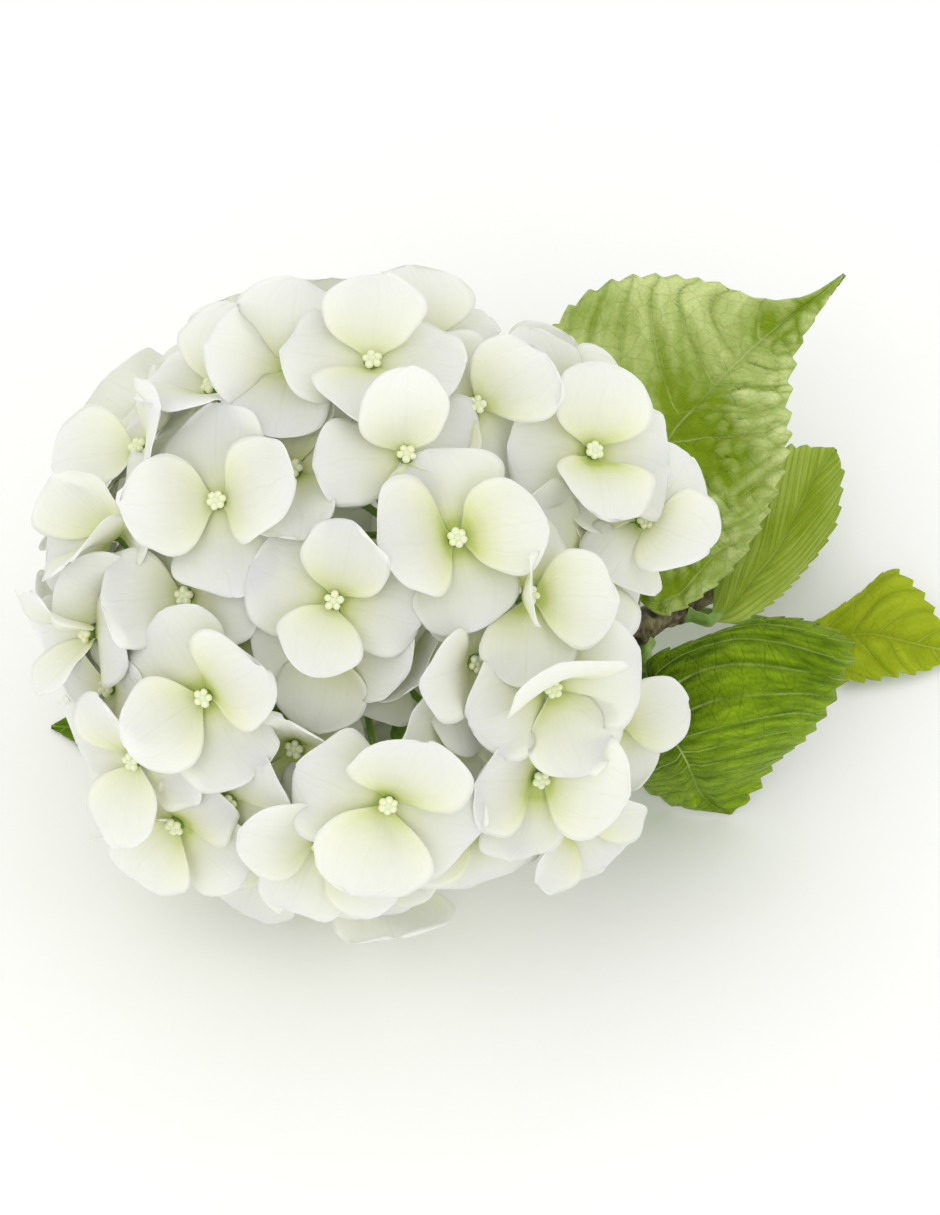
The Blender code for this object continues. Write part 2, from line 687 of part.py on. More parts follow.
def leaf_ring(bm, middle, left, right, normal, thick):
    """One section: a lens from the left margin over the midrib to the right one, slightly arched."""
    circle = bmesh.ops.create_circle(bm, segments=LEAF_SIDES, radius=1.0)["verts"]
    for step, corner in enumerate(circle):
        angle = math.tau * step / LEAF_SIDES
        across = math.cos(angle)
        margin = right if across > 0.0 else left
        half = (margin - middle).length
        arch = 4.0 * LEAF_ARCH * half * abs(across) * (1.0 - abs(across))
        height = 0.5 * thick * math.sin(angle) + (arch if half > 2.0 * PETIOLE_RADIUS else 0.0)
        corner.co = middle.lerp(margin, abs(across)) + height * normal
    return circle


def ring_edges(bm, ring):
    return [bm.edges.get((first, second)) for first, second in zip(ring, ring[1:] + ring[:1])]


def build():
    clear_scene()
    collection = new_collection(COLLECTION_NAME)
    sepal_material = new_material("sepal_white", (0.86, 0.88, 0.78), 0.55)
    leaf_material = new_material("leaf_green", (0.22, 0.38, 0.05), 0.45)
    stalk_material = new_material("stalk_green", (0.28, 0.42, 0.10), 0.5)
    bark_material = new_material("bark_brown", (0.17, 0.13, 0.07), 0.8)

    knobs = knob_centres()
    obstacles = Obstacles()
    obstacles.add_object(add_flower_stalk(knobs, stalk_material, collection))
    obstacles.add_object(add_woody_stem(bark_material, collection))
    for name, shape in LEAVES.items():
        leaf = add_leaf(name, material=leaf_material, collection=collection, **shape)
        obstacles.add_object(leaf)

    singles = list(showing_florets())
    clusters = clustered(back_florets(singles), knobs)
    give_stalks(singles, clusters, knobs)
    florets = singles + [floret for cluster in clusters for floret in cluster]
    for number, floret in enumerate(florets, 1):
        floret.name = number
    for floret in florets:
        for tube in stalk_obstacles(floret):
            obstacles.add(*tube, owner=floret)
        obstacles.add(*button_obstacle(floret), owner=floret)
    for floret in florets:
        lay_sepals(floret, obstacles)
    add_florets(singles, clusters, sepal_material, collection)


build()
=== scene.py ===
"""A cut mophead hydrangea lying on a table: a head of white florets, its green stalk, the woody stem
and five leaves. Sizes are millimetres until a piece is finished, and its place is in its mesh."""

import math
import random

import bmesh
import bpy
from mathutils import Matrix, Vector, noise
from mathutils.bvhtree import BVHTree
from mathutils.kdtree import KDTree


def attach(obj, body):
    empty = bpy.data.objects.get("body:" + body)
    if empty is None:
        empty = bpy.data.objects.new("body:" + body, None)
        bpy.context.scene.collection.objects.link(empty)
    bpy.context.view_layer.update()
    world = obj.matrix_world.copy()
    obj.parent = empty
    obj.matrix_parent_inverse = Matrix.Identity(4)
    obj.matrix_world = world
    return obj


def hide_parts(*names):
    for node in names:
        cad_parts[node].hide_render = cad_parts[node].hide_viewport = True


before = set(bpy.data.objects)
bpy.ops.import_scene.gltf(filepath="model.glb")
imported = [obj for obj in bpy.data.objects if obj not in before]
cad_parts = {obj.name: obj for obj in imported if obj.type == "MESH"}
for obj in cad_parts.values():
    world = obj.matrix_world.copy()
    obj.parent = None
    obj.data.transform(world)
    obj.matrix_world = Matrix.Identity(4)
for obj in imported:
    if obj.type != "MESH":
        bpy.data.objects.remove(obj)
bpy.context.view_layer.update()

# ------------------------------------------------------------------ table, light and view
# The stem lies on a wide white table in a bright room. A large soft light hangs over the head on
# its left, a weaker one fills from the right, and the walls all round are pale.

# The plant's places are in mm about the ground under its hub, the middle of its head. RIGHT, UP and
# OUT are the three directions of the side that shows. Lights and the view are placed in metres.
MM = 0.001
GROUND_POINT = Vector((-44.0, -12.7, -0.1))
HUB = Vector((0.0, 0.0, 78.0))
SHOWING_TILT = 55.0
RIGHT = Vector((1.0, 0.0, 0.0))
UP = Vector((0.0, math.sin(math.radians(SHOWING_TILT)), math.cos(math.radians(SHOWING_TILT))))
OUT = RIGHT.cross(UP)


def in_place(point):
    """A point of the plant, given about the ground under its hub, in metres in the shared frame."""
    return (Vector(point) + GROUND_POINT) * MM


def add_light(name, place, size, power, colour):
    lamp = bpy.data.lights.new(name, "AREA")
    lamp.shape = "DISK"
    lamp.size = size
    lamp.energy = power
    lamp.color = colour
    holder = bpy.data.objects.new(name, lamp)
    bpy.context.scene.collection.objects.link(holder)
    holder.location = place
    aim = in_place(HUB) - Vector(place)
    holder.rotation_euler = aim.to_track_quat("-Z", "Y").to_euler()


VIEW_DISTANCE = 1.8
VIEW_AIM = HUB + 32.0 * RIGHT - 0.67 * UP
view = bpy.data.cameras.new("view")
view.lens = 200.0
view.sensor_width = 36.0
view.clip_end = 20.0
viewer = bpy.data.objects.new("view", view)
bpy.context.scene.collection.objects.link(viewer)
viewer.location = in_place(VIEW_AIM) + VIEW_DISTANCE * OUT
viewer.rotation_euler = (-OUT).to_track_quat("-Z", "Y").to_euler()
bpy.context.scene.camera = viewer

room = bpy.data.worlds.new("room")
room.use_nodes = True
room.node_tree.nodes["Background"].inputs["Color"].default_value = (1.0, 1.0, 0.985, 1.0)
room.node_tree.nodes["Background"].inputs["Strength"].default_value = 1.02
bpy.context.scene.world = room
bpy.context.scene.view_settings.view_transform = "Standard"
add_light("soft_light_left", (-0.55, -0.75, 1.15), 1.1, 2.5, (1.0, 0.99, 0.965))
add_light("soft_light_right", (0.9, -0.6, 0.9), 0.9, 0.9, (1.0, 1.0, 0.98))

table_mesh = bmesh.new()
bmesh.ops.create_grid(table_mesh, x_segments=1, y_segments=1, size=3.0)
bmesh.ops.translate(table_mesh, verts=table_mesh.verts, vec=(0.0, 0.0, -0.0002))
table = bpy.data.objects.new("table", bpy.data.meshes.new("table"))
table_mesh.to_mesh(table.data)
table_mesh.free()
bpy.context.scene.collection.objects.link(table)
white_table = bpy.data.materials.new("white_table")
white_table.use_nodes = True
white_table.node_tree.nodes["Principled BSDF"].inputs["Base Color"].default_value = (0.96, 0.96, 0.955, 1.0)
white_table.node_tree.nodes["Principled BSDF"].inputs["Roughness"].default_value = 0.9
table.data.materials.append(white_table)

# ------------------------------------------------------------------ where the florets grow
# The head is a ball of some eighty florets about its hub. Each looks outward on a thin pedicel,
# and the ones that rest on the table are pressed a little flat.

# The florets on the side that faces up and forward, outermost layer first.
# bearing: degrees clockwise from the top of that side. reach: mm from its middle.
# sunk: mm below its face. lean: degrees that the floret looks outward, along its bearing.
# turn: degrees anticlockwise from the right to one of its sepals. length: mm.
SHOWING_FLORETS = (
    (290, 3, 0, 2, 70, 23.5),
    (309, 42, 0, 20, 5, 26.0),
    (59, 33, 0, 14, 15, 25.0),
    (58, 75, 0, 30, 83, 24.5),
    (87, 47, -2, 20, 0, 24.0),
    (168, 52, -2, 22, 70, 26.5),
    (237, 43, 0, 22, 30, 25.0),
    (6, 63, 0, 28, 85, 24.5),
    (22, 41, -1, 27, 95, 25.5),
    (112, 57, 0, 22, 18, 26.0),
    (74, 80, 1, 32, 45, 24.0),
    (273, 41, 5, 24, 5, 23.0),
    (347, 63, 4, 30, 87, 25.0),
    (132, 67, 4, 30, -15, 24.5),
    (114, 36, 5, 34, 100, 24.0),
    (339, 37, 5, 22, 100, 23.5),
    (186, 62, 3, 32, 70, 25.0),
    (149, 67, 3, 28, 5, 26.0),
    (138, 44, 8, 20, 0, 22.5),
    (197, 11, 9, 8, 78, 23.5),
    (234, 68, 4, 48, 75, 24.0),
    (79, 63, 9, 30, 58, 25.0),
    (33, 61, 7, 30, 40, 24.0),
    (46, 73, 9, 36, 19, 23.0),
    (15, 69, 10, 42, 13, 24.0),
    (328, 66, 7, 44, 84, 23.5),
    (321, 58, 6, 36, 74, 23.0),
    (307, 67, 5, 42, 5, 24.0),
    (287, 63, 5, 46, 10, 24.0),
    (270, 57, 9, 38, 30, 22.5),
    (264, 67, 6, 60, 80, 23.0),
    (251, 65, 9, 50, 6, 21.5),
    (218, 72, 6, 48, 48, 24.0),
    (211, 59, 7, 34, 64, 23.0),
    (200, 39, 11, 20, 85, 23.0),
    (176, 68, 10, 44, 10, 22.5),
    (114, 76, 9, 40, 16, 21.0),
    (136, 20, 16, 4, 50, 20.0),
    (258, 28, 11, 14, 20, 22.0),
    (134, 82, 9, 52, 30, 21.0),
)
FACE_HEIGHT = 70.0
FACE_REACH = 88.0
FACE_POWER = 2.2
BACK_RADIUS = 73.0
BACK_SPACING = 31.5
BACK_CLEARANCE = 22.7
BACK_LENGTH = 25.0
BACK_TURN = 137.5
# The florets stand on the ball like the cells of a honeycomb: a cell's area against its width squared.
CELL_AREA = 0.866
# Degrees that the sepals usually rise from flat on the side that shows, and at the back.
SHOWING_LIFT = 26.0
BACK_LIFT = 14.0
STEM_SIDE = Vector((0.87, 0.10, -0.48)).normalized()
STEM_SIDE_CLEAR = 40.0
PRESS_FLOOR = 1.8
PRESS_DEPTH = 9.0
THROAT_RADIUS = 2.6
CENTRE_ALONG = -0.125
SEPAL_BOW = math.radians(13.0)
KNOB_DISTANCE = 38.0
KNOB_RADIUS = 4.4
KNOB_COUNT = 15
# No knob looks nearer to the stem's side than this, as the cosine between the two.
KNOB_MOST_ALONG_STEM = 0.75
NECK_LENGTH = 3.5
FORK_LENGTH = 7.0
GAP = 0.3


def pressed(point):
    """The point as the table leaves it: what would sink lower lies along the table instead."""
    edge = PRESS_FLOOR + PRESS_DEPTH
    if point.z >= edge:
        return point
    lowered = PRESS_FLOOR + PRESS_DEPTH * math.exp((point.z - edge) / PRESS_DEPTH)
    return Vector((point.x, point.y, lowered))


class Floret:
    """Where a floret is, which way it looks, and how far each of its four sepals rises."""

    def __init__(self, centre, axis, turn, length, usual_lift):
        self.centre = pressed(centre)
        self.axis = axis.normalized()
        start = math.cos(math.radians(turn)) * RIGHT + math.sin(math.radians(turn)) * UP
        if abs(start.dot(self.axis)) > 0.9:
            start = OUT
        self.first = (start - start.dot(self.axis) * self.axis).normalized()
        self.second = self.axis.cross(self.first)
        self.length = length
        self.usual_lift = usual_lift
        self.node = ""
        self.route = []
        self.tint = 0.0

    def direction(self, quarter_turns):
        angle = math.radians(90.0 * quarter_turns)
        return math.cos(angle) * self.first + math.sin(angle) * self.second

    def on_sepal(self, sepal, lift, length, along, lateral=0.0, raised=0.0):
        """A point of a sepal. Along is CENTRE_ALONG at the floret's centre, 0 at its throat and 1 at
        the sepal's tip, lift is in degrees, and the rest is in mm."""
        outward = self.direction(sepal)
        rise = math.radians(lift)
        slope = rise + SEPAL_BOW * (1.0 - 2.0 * max(along, 0.0))
        run = length - THROAT_RADIUS
        forward = THROAT_RADIUS + run * (math.sin(rise + SEPAL_BOW) - math.sin(slope)) / (2.0 * SEPAL_BOW)
        height = run * (math.cos(slope) - math.cos(rise + SEPAL_BOW)) / (2.0 * SEPAL_BOW)
        if along < 0.0:
            forward, height = THROAT_RADIUS * (1.0 - along / CENTRE_ALONG), 0.0
        normal = math.cos(slope) * self.axis - math.sin(slope) * outward
        point = self.centre + forward * outward + height * self.axis
        return pressed(point + lateral * self.direction(sepal + 1) + raised * normal)


def spread_over_a_ball(count):
    golden_angle = math.pi * (3.0 - math.sqrt(5.0))
    for step in range(count):
        height = 1.0 - 2.0 * (step + 0.5) / count
        ring = math.sqrt(1.0 - height * height)
        yield Vector((ring * math.cos(step * golden_angle), ring * math.sin(step * golden_angle), height))


florets = []
for number, (bearing, reach, sunk, lean, turn, length) in enumerate(SHOWING_FLORETS, 1):
    side = math.sin(math.radians(bearing)) * RIGHT + math.cos(math.radians(bearing)) * UP
    face = FACE_HEIGHT * (1.0 - (reach / FACE_REACH) ** FACE_POWER) ** (1.0 / FACE_POWER)
    axis = math.sin(math.radians(lean)) * side + math.cos(math.radians(lean)) * OUT
    florets.append(Floret(HUB + reach * side + (face - sunk) * OUT, axis, turn, length, SHOWING_LIFT))
    florets[-1].node = f"floret_{number:02d}"

back_count = round(4.0 * math.pi * BACK_RADIUS ** 2 / (CELL_AREA * BACK_SPACING ** 2))
showing = list(florets)
for step, way in enumerate(spread_over_a_ball(back_count)):
    place = HUB + BACK_RADIUS * way
    by_the_stem = way.dot(STEM_SIDE) > math.cos(math.radians(STEM_SIDE_CLEAR))
    crowded = any((other.centre - place).length < BACK_CLEARANCE for other in showing)
    if not by_the_stem and not crowded:
        florets.append(Floret(place, way, BACK_TURN * step, BACK_LENGTH, BACK_LIFT))

ways = [way for way in spread_over_a_ball(KNOB_COUNT) if way.dot(STEM_SIDE) < KNOB_MOST_ALONG_STEM]
knobs = [HUB + KNOB_DISTANCE * way for way in ways]


def nearest_knob(place):
    return min(range(len(knobs)), key=lambda index: (knobs[index] - place).length)


clusters = [[] for knob in knobs]
for floret in florets:
    if not floret.node:
        clusters[nearest_knob(floret.centre)].append(floret)
for number, cluster in enumerate(filter(None, clusters), 1):
    middle = sum((floret.centre for floret in cluster), Vector()) / len(cluster)
    knob = knobs[nearest_knob(middle)]
    way = (middle - knob).normalized()
    fork = knob + (KNOB_RADIUS + GAP + FORK_LENGTH) * way
    for floret in cluster:
        floret.node = f"floret_cluster_{number:02d}"
        floret.route = [fork, knob + (KNOB_RADIUS - 1.0) * way]
for floret in florets:
    if not floret.route:
        knob = knobs[nearest_knob(floret.centre)]
        floret.route = [knob + (KNOB_RADIUS - 1.0) * (floret.centre - knob).normalized()]
by_node = {}
for floret in florets:
    by_node.setdefault(floret.node, []).append(floret)

# ------------------------------------------------------------------ sepals
# Four soft white sepals spread from each floret's throat. Each is a thin leaf-like sheet, broad
# and blunt, cupped and a little wavy, yellow-green at its foot, partly its own colour and partly
# painted shade of the throat, with faint veins fanning out.

# A sepal that meets another on the plant stands higher or lower by these degrees, or is shorter.
LIFT_STEPS = (0, 5, -5, 10, -10, 15, -15, 20, -20, 26, -26, 32, -32, 38, -38, 44, -45, 50, 56)
SHORTENINGS = (1.0, 0.92, 0.84, 0.76, 0.68, 0.6, 0.5, 0.4)
STEEPEST_LIFT = 80.0
# From foot to tip: how far along the middle and the margin are, and the half width there.
SEPAL_OUTLINE = (
    (-0.10, -0.10, 0.05), (0.0, 0.0, 0.17), (0.11, 0.10, 0.47), (0.24, 0.21, 0.76), (0.38, 0.345, 0.94),
    (0.52, 0.48, 1.0), (0.65, 0.605, 0.985), (0.77, 0.72, 0.90), (0.87, 0.82, 0.76), (0.94, 0.895, 0.57),
    (0.985, 0.955, 0.33), (1.0, 0.985, 0.10),
)
SEPAL_HALF_WIDTH = 13.0
USUAL_LENGTH = 24.0
BLUNT_ROWS = 3
SEPAL_COLUMNS = 8
SEPAL_THICKNESS = 0.16
WHORL_STEP = 0.4
# A sepal may meet those of the florets this near. Where it would cut through one it is pushed past
# it, by at most MOST_PUSH, all but the part near its foot.
NEIGHBOUR_DISTANCE = 52.0
TUCK_SEARCH = 5.0
TUCK_CLEARANCE = 0.6
MOST_PUSH = 3.5
FOOT_SHARE = 0.2


def sepal_lies(floret, tree):
    """How high each sepal stands and how long it is, as its plain solid has them."""
    lies = []
    for sepal in range(4):
        choices = [
            (floret.usual_lift + step, share * floret.length)
            for share in SHORTENINGS for step in LIFT_STEPS if floret.usual_lift + step <= STEEPEST_LIFT
        ]
        lies.append(min(choices, key=lambda choice: sum(
            found[2] for found in tree.find_n(in_place(floret.on_sepal(sepal, *choice, 1.0)), 2))))
    return lies


def add_sepal(bm, floret, sepal, lift, length, over, chance):
    """One sepal as a shaped grid, with how far along and across it each corner is kept on it.

    The two sepals of the upper pair are cupped, so that their margins lie over the lower pair's.
    """
    along_layer = bm.verts.layers.float["along"]
    across_layer = bm.verts.layers.float["across"]
    tint_layer = bm.verts.layers.float["tint"]
    rows = len(SEPAL_OUTLINE) - 1
    corners = bmesh.ops.create_grid(bm, x_segments=SEPAL_COLUMNS, y_segments=rows, size=0.5)["verts"]
    size = length / USUAL_LENGTH
    wide = SEPAL_HALF_WIDTH * size * chance.uniform(0.88, 1.2)
    blunt = chance.uniform(0.85, 1.2)
    cup = chance.uniform(1.8, 3.8) if over else chance.uniform(-1.8, 0.5)
    wave, wave_start = chance.uniform(0.5, 2.4), chance.uniform(0.0, math.tau)
    ripple, ripple_start = chance.uniform(0.2, 0.9), chance.uniform(0.0, math.tau)
    bend = chance.uniform(-2.2, 2.2)
    tip_roll = chance.uniform(-3.6, 1.4)
    twist = chance.uniform(-0.34, 0.34)
    fold = chance.uniform(0.1, 0.9)
    lopsided = chance.uniform(-0.14, 0.14)
    unevenness = chance.uniform(0.0, 100.0)
    whorl = WHORL_STEP if over else -WHORL_STEP
    lift += chance.uniform(-2.0, 6.0) if over else chance.uniform(-5.0, 1.0)
    tint = 0.7 * floret.tint + 0.3 * chance.uniform(0.0, 1.0)
    for corner in corners:
        row = round((corner.co.y + 0.5) * rows)
        across = 2.0 * corner.co.x
        middle, margin, width = SEPAL_OUTLINE[row]
        if row >= rows - BLUNT_ROWS:
            width *= blunt
        along = middle + (margin - middle) * across * across
        reached = min(max(along, 0.0), 1.0)
        outer = max(reached - 0.4, 0.0) / 0.6
        uneven = noise.noise(Vector((3.2 * along, 1.6 * across, unevenness)))
        along += 0.09 * uneven * across * across * outer
        lateral = wide * width * across * (1.0 + lopsided * across + 0.16 * uneven) + bend * reached ** 2
        waving = wave * (0.2 + 0.8 * outer) * math.sin(wave_start + 8.5 * along + 1.2 * across)
        raised = cup * size * across * across * math.sin(math.pi * reached ** 0.62)
        raised += waving * across * across
        raised += ripple * outer * math.sin(ripple_start + 19.0 * along - 2.0 * across) * abs(across) ** 3
        raised += twist * lateral * outer
        raised += tip_roll * outer * outer
        raised -= fold * math.exp(-((across / 0.24) ** 2)) * math.sin(math.pi * reached)
        raised += whorl * (1.0 - 0.5 * reached)
        corner.co = floret.on_sepal(sepal, lift, length, along, lateral, raised)
        corner[along_layer] = max(along, 0.0)
        corner[across_layer] = across
        corner[tint_layer] = tint
    return corners


def laid_past(corners, neighbours):
    """Pushes a sepal over or under each floret beside it, as sepals do when they open."""
    for other, sheet in neighbours:
        heights = {}
        for corner in corners:
            for way in (1.0, -1.0):
                distance = sheet.ray_cast(corner.co, -way * other.axis, TUCK_SEARCH)[3]
                if distance is not None and distance < abs(heights.get(corner, TUCK_SEARCH)):
                    heights[corner] = way * distance
        side = math.copysign(1.0, sum(heights.values()))
        for corner, height in heights.items():
            push = side * TUCK_CLEARANCE - height
            if side * push > 0.0:
                corner.co += max(min(push, MOST_PUSH), -MOST_PUSH) * other.axis
                corner.co.z = max(corner.co.z, PRESS_FLOOR)


def sheet_of(corners):
    """The sepals of one floret as a surface that its neighbours can be laid past."""
    numbers = {corner: number for number, corner in enumerate(corners)}
    faces = dict.fromkeys(face for corner in corners for face in corner.link_faces)
    outlines = [[numbers[corner] for corner in face.verts] for face in faces]
    return BVHTree.FromPolygons([corner.co.copy() for corner in corners], outlines)


def finished(name, bm, materials, nodes):
    """The bmesh, in millimetres about the ground point, as a piece that stands for these nodes."""
    bmesh.ops.translate(bm, verts=bm.verts, vec=GROUND_POINT)
    bmesh.ops.scale(bm, verts=bm.verts, vec=(MM, MM, MM))
    piece = bpy.data.objects.new(name, bpy.data.meshes.new(name))
    bm.to_mesh(piece.data)
    bm.free()
    piece.data.shade_smooth()
    for material in materials:
        piece.data.materials.append(material)
    bpy.context.scene.collection.objects.link(piece)
    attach(piece, "root")
    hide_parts(*nodes)
    return piece


def thickened(piece, thickness, under_material=0):
    """Gives a thin sheet its thickness about its middle, in mm."""
    wall = piece.modifiers.new("thickness", "SOLIDIFY")
    wall.thickness = thickness * MM
    wall.offset = 0.0
    wall.material_offset = under_material


class Nodes:
    """A material's node tree, with short ways to add what this plant's surfaces need."""

    def __init__(self, name):
        self.material = bpy.data.materials.new(name)
        self.material.use_nodes = True
        self.tree = self.material.node_tree
        self.surface = self.tree.nodes["Principled BSDF"]

    def add(self, kind, links=(), **settings):
        node = self.tree.nodes.new(kind)
        for name, value in settings.items():
            setattr(node, name, value)
        for socket, value in dict(links).items():
            self.put(value, node.inputs[socket])
        return node

    def put(self, value, socket):
        if isinstance(value, bpy.types.NodeSocket):
            self.tree.links.new(value, socket)
        else:
            socket.default_value = value

    def calc(self, operation, *values):
        return self.add("ShaderNodeMath", enumerate(values), operation=operation).outputs[0]

    def clipped(self, value):
        """The value, held between 0 and 1."""
        return self.calc("MINIMUM", self.calc("MAXIMUM", value, 0.0), 1.0)

    def kept(self, name):
        """A number kept on the mesh's corners."""
        return self.add("ShaderNodeAttribute", attribute_name=name).outputs["Fac"]

    def grain(self, scale, detail=2.0, stretch=(1.0, 1.0, 1.0)):
        place = self.add("ShaderNodeTexCoord").outputs["Object"]
        turned = self.add("ShaderNodeMapping", {"Vector": place, "Scale": stretch}).outputs[0]
        settings = {"Vector": turned, "Scale": scale, "Detail": detail}
        return self.add("ShaderNodeTexNoise", settings).outputs[0]

    def ramp(self, value, *stops):
        node = self.add("ShaderNodeValToRGB", {"Fac": value})
        while len(node.color_ramp.elements) < len(stops):
            node.color_ramp.elements.new(1.0)
        for element, (at, colour) in zip(node.color_ramp.elements, stops):
            element.position = at
            element.color = (*colour, 1.0)
        return node.outputs["Color"]

    def mix(self, share, first, second):
        """The second colour laid over the first by its share. Sockets 6, 7 and 2 are the node's colours."""
        node = self.add("ShaderNodeMix", data_type="RGBA")
        for socket, value in ((0, share), (6, first), (7, second)):
            self.put((*value, 1.0) if isinstance(value, tuple) else value, node.inputs[socket])
        return node.outputs[2]

    def bump(self, height, strength, depth):
        node = self.add("ShaderNodeBump", {"Height": height, "Strength": strength, "Distance": depth})
        self.tree.links.new(node.outputs[0], self.surface.inputs["Normal"])


def veins_across(nodes, across, along, count, thin):
    """Fine lines that fan out from a foot: 1 on each line and 0 between them."""
    wander = nodes.calc("MULTIPLY", nodes.calc("SUBTRACT", nodes.grain(160.0), 0.5), 0.35)
    placed = nodes.calc("ADD", across, nodes.calc("MULTIPLY", wander, along))
    wave = nodes.calc("COSINE", nodes.calc("MULTIPLY", placed, math.pi * count))
    return nodes.calc("POWER", nodes.calc("MAXIMUM", wave, 0.0), thin)


white = Nodes("sepal_white")
along, across, tint = white.kept("along"), white.kept("across"), white.kept("tint")
blotch = white.calc("MULTIPLY", white.calc("SUBTRACT", white.grain(90.0), 0.5), 0.22)
reach_of_green = white.calc("MULTIPLY", white.calc("SUBTRACT", tint, 0.45), 0.26)
greenness = white.calc("ADD", white.calc("ADD", along, blotch), reach_of_green)
# Darker yellow-green toward the foot: partly the sepal's own colour, partly painted shade in the throat.
sepal_colour = white.ramp(
    greenness, (0.0, (0.46, 0.56, 0.12)), (0.08, (0.66, 0.71, 0.30)), (0.2, (0.775, 0.81, 0.49)),
    (0.4, (0.83, 0.85, 0.65)), (0.64, (0.845, 0.86, 0.745)), (1.0, (0.86, 0.87, 0.825)))
fan = veins_across(white, across, along, 4.0, 9.0)
fine_fan = veins_across(white, across, along, 13.0, 4.0)
faint = white.calc("ADD", white.calc("MULTIPLY", fan, 0.07), white.calc("MULTIPLY", fine_fan, 0.035))
sepal_colour = white.mix(faint, sepal_colour, (0.70, 0.76, 0.52))
rim = white.calc("POWER", white.calc("ABSOLUTE", across), 9.0)
sepal_colour = white.mix(white.calc("MULTIPLY", rim, 0.45), sepal_colour, (0.90, 0.91, 0.89))
white.put(sepal_colour, white.surface.inputs["Base Color"])
white.surface.inputs["Roughness"].default_value = 0.55
white.surface.inputs["Specular IOR Level"].default_value = 0.3
white.surface.inputs["Subsurface Weight"].default_value = 0.45
white.surface.inputs["Subsurface Radius"].default_value = (1.0, 1.0, 0.72)
white.surface.inputs["Subsurface Scale"].default_value = 0.002
ribbed = white.calc("ADD", white.calc("MULTIPLY", fan, -0.8), white.calc("MULTIPLY", fine_fan, -0.35))
white.bump(white.calc("ADD", ribbed, white.calc("MULTIPLY", white.grain(420.0, 3.0), 1.2)), 0.22, 0.0004)

laid = []
for node, members in by_node.items():
    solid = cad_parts[node]
    tree = KDTree(len(solid.data.vertices))
    for index, corner in enumerate(solid.data.vertices):
        tree.insert(corner.co, index)
    tree.balance()
    bm = bmesh.new()
    for kept in ("along", "across", "tint"):
        bm.verts.layers.float.new(kept)
    along_layer = bm.verts.layers.float["along"]
    for count, floret in enumerate(members):
        chance = random.Random(f"{node}-{count}")
        floret.tint = chance.uniform(0.0, 1.0)
        lies = sepal_lies(floret, tree)
        upper_pair = int(lies[1][0] + lies[3][0] > lies[0][0] + lies[2][0])
        neighbours = [(other, sheet) for other, sheet in laid
                      if (other.centre - floret.centre).length < NEIGHBOUR_DISTANCE]
        corners = []
        for sepal, (lift, length) in enumerate(lies):
            grown = add_sepal(bm, floret, sepal, lift, length, sepal % 2 == upper_pair, chance)
            laid_past([corner for corner in grown if corner[along_layer] > FOOT_SHARE], neighbours)
            corners += grown
        laid.append((floret, sheet_of(corners)))
    piece = finished(f"{node}_sepals", bm, [white.material], [node])
    smooth = piece.modifiers.new("rounded", "SUBSURF")
    smooth.levels = smooth.render_levels = 1
    thickened(piece, SEPAL_THICKNESS)

# ------------------------------------------------------------------ buttons and pedicels
# In each throat sits a cream fertile button, closed, with a ring of five or six round lobes on a
# green foot, painted darker as shade under the lobes. Behind the throat a thin pale green pedicel
# runs back to its knob on the stalk.

LOBE_RING = 1.6
LOBE_RADIUS = 1.1
LOBE_HEIGHT = 2.1
# A pedicel's radii from its throat to its knob.
PEDICEL_RADII = (2.0, 1.5, 1.15, 1.0, 1.0, 1.1, 1.25)
PEDICEL_SIDES = 8
# How pale each bit is, from the green pedicel at 0 to the cream lobes.
PEDICEL_TONE = 0.15
# The foot's dark green is partly its own and partly painted shade under the lobes.
FOOT_TONE = 0.46
CROWN_TONE = 0.84
LOBE_TONE = 0.95


def grown_tube(bm, route, radii, sides, tone_layer=None, tone=0.0):
    """A round tube along the route, grown ring by ring, with closed ends."""
    ring = bmesh.ops.create_circle(bm, cap_ends=True, segments=sides, radius=radii[0])["verts"]
    made = list(ring)
    facing = Vector((0.0, 0.0, 1.0))
    here = Vector()
    for step, place in enumerate(route):
        ahead = (route[min(step + 1, len(route) - 1)] - route[max(step - 1, 0)]).normalized()
        if step:
            edges = [bm.edges.get((first, second)) for first, second in zip(ring, ring[1:] + ring[:1])]
            grown = bmesh.ops.extrude_edge_only(bm, edges=edges)["geom"]
            fresh = [item for item in grown if isinstance(item, bmesh.types.BMVert)]
            ring = [min(fresh, key=lambda new: (new.co - old.co).length) for old in ring]
            made += ring
            size = radii[step] / radii[step - 1]
            bmesh.ops.scale(bm, verts=ring, vec=(size, size, size), space=Matrix.Translation(-here))
        turn = facing.rotation_difference(ahead).to_matrix()
        bmesh.ops.rotate(bm, verts=ring, cent=here, matrix=turn)
        bmesh.ops.translate(bm, verts=ring, vec=place - here)
        facing, here = ahead, place
    bm.faces.new(ring)
    if tone_layer:
        for corner in made:
            corner[tone_layer] = tone
    return made


def add_ball(bm, centre, radius, tone_layer, tone, axis, flat):
    """A ball that is flattened along its axis."""
    ball = bmesh.ops.create_icosphere(bm, subdivisions=2, radius=radius)["verts"]
    turn = Vector((0.0, 0.0, 1.0)).rotation_difference(axis).to_matrix()
    bmesh.ops.scale(bm, verts=ball, vec=(1.0, 1.0, flat))
    bmesh.ops.rotate(bm, verts=ball, matrix=turn)
    bmesh.ops.translate(bm, verts=ball, vec=centre)
    for corner in ball:
        corner[tone_layer] = tone


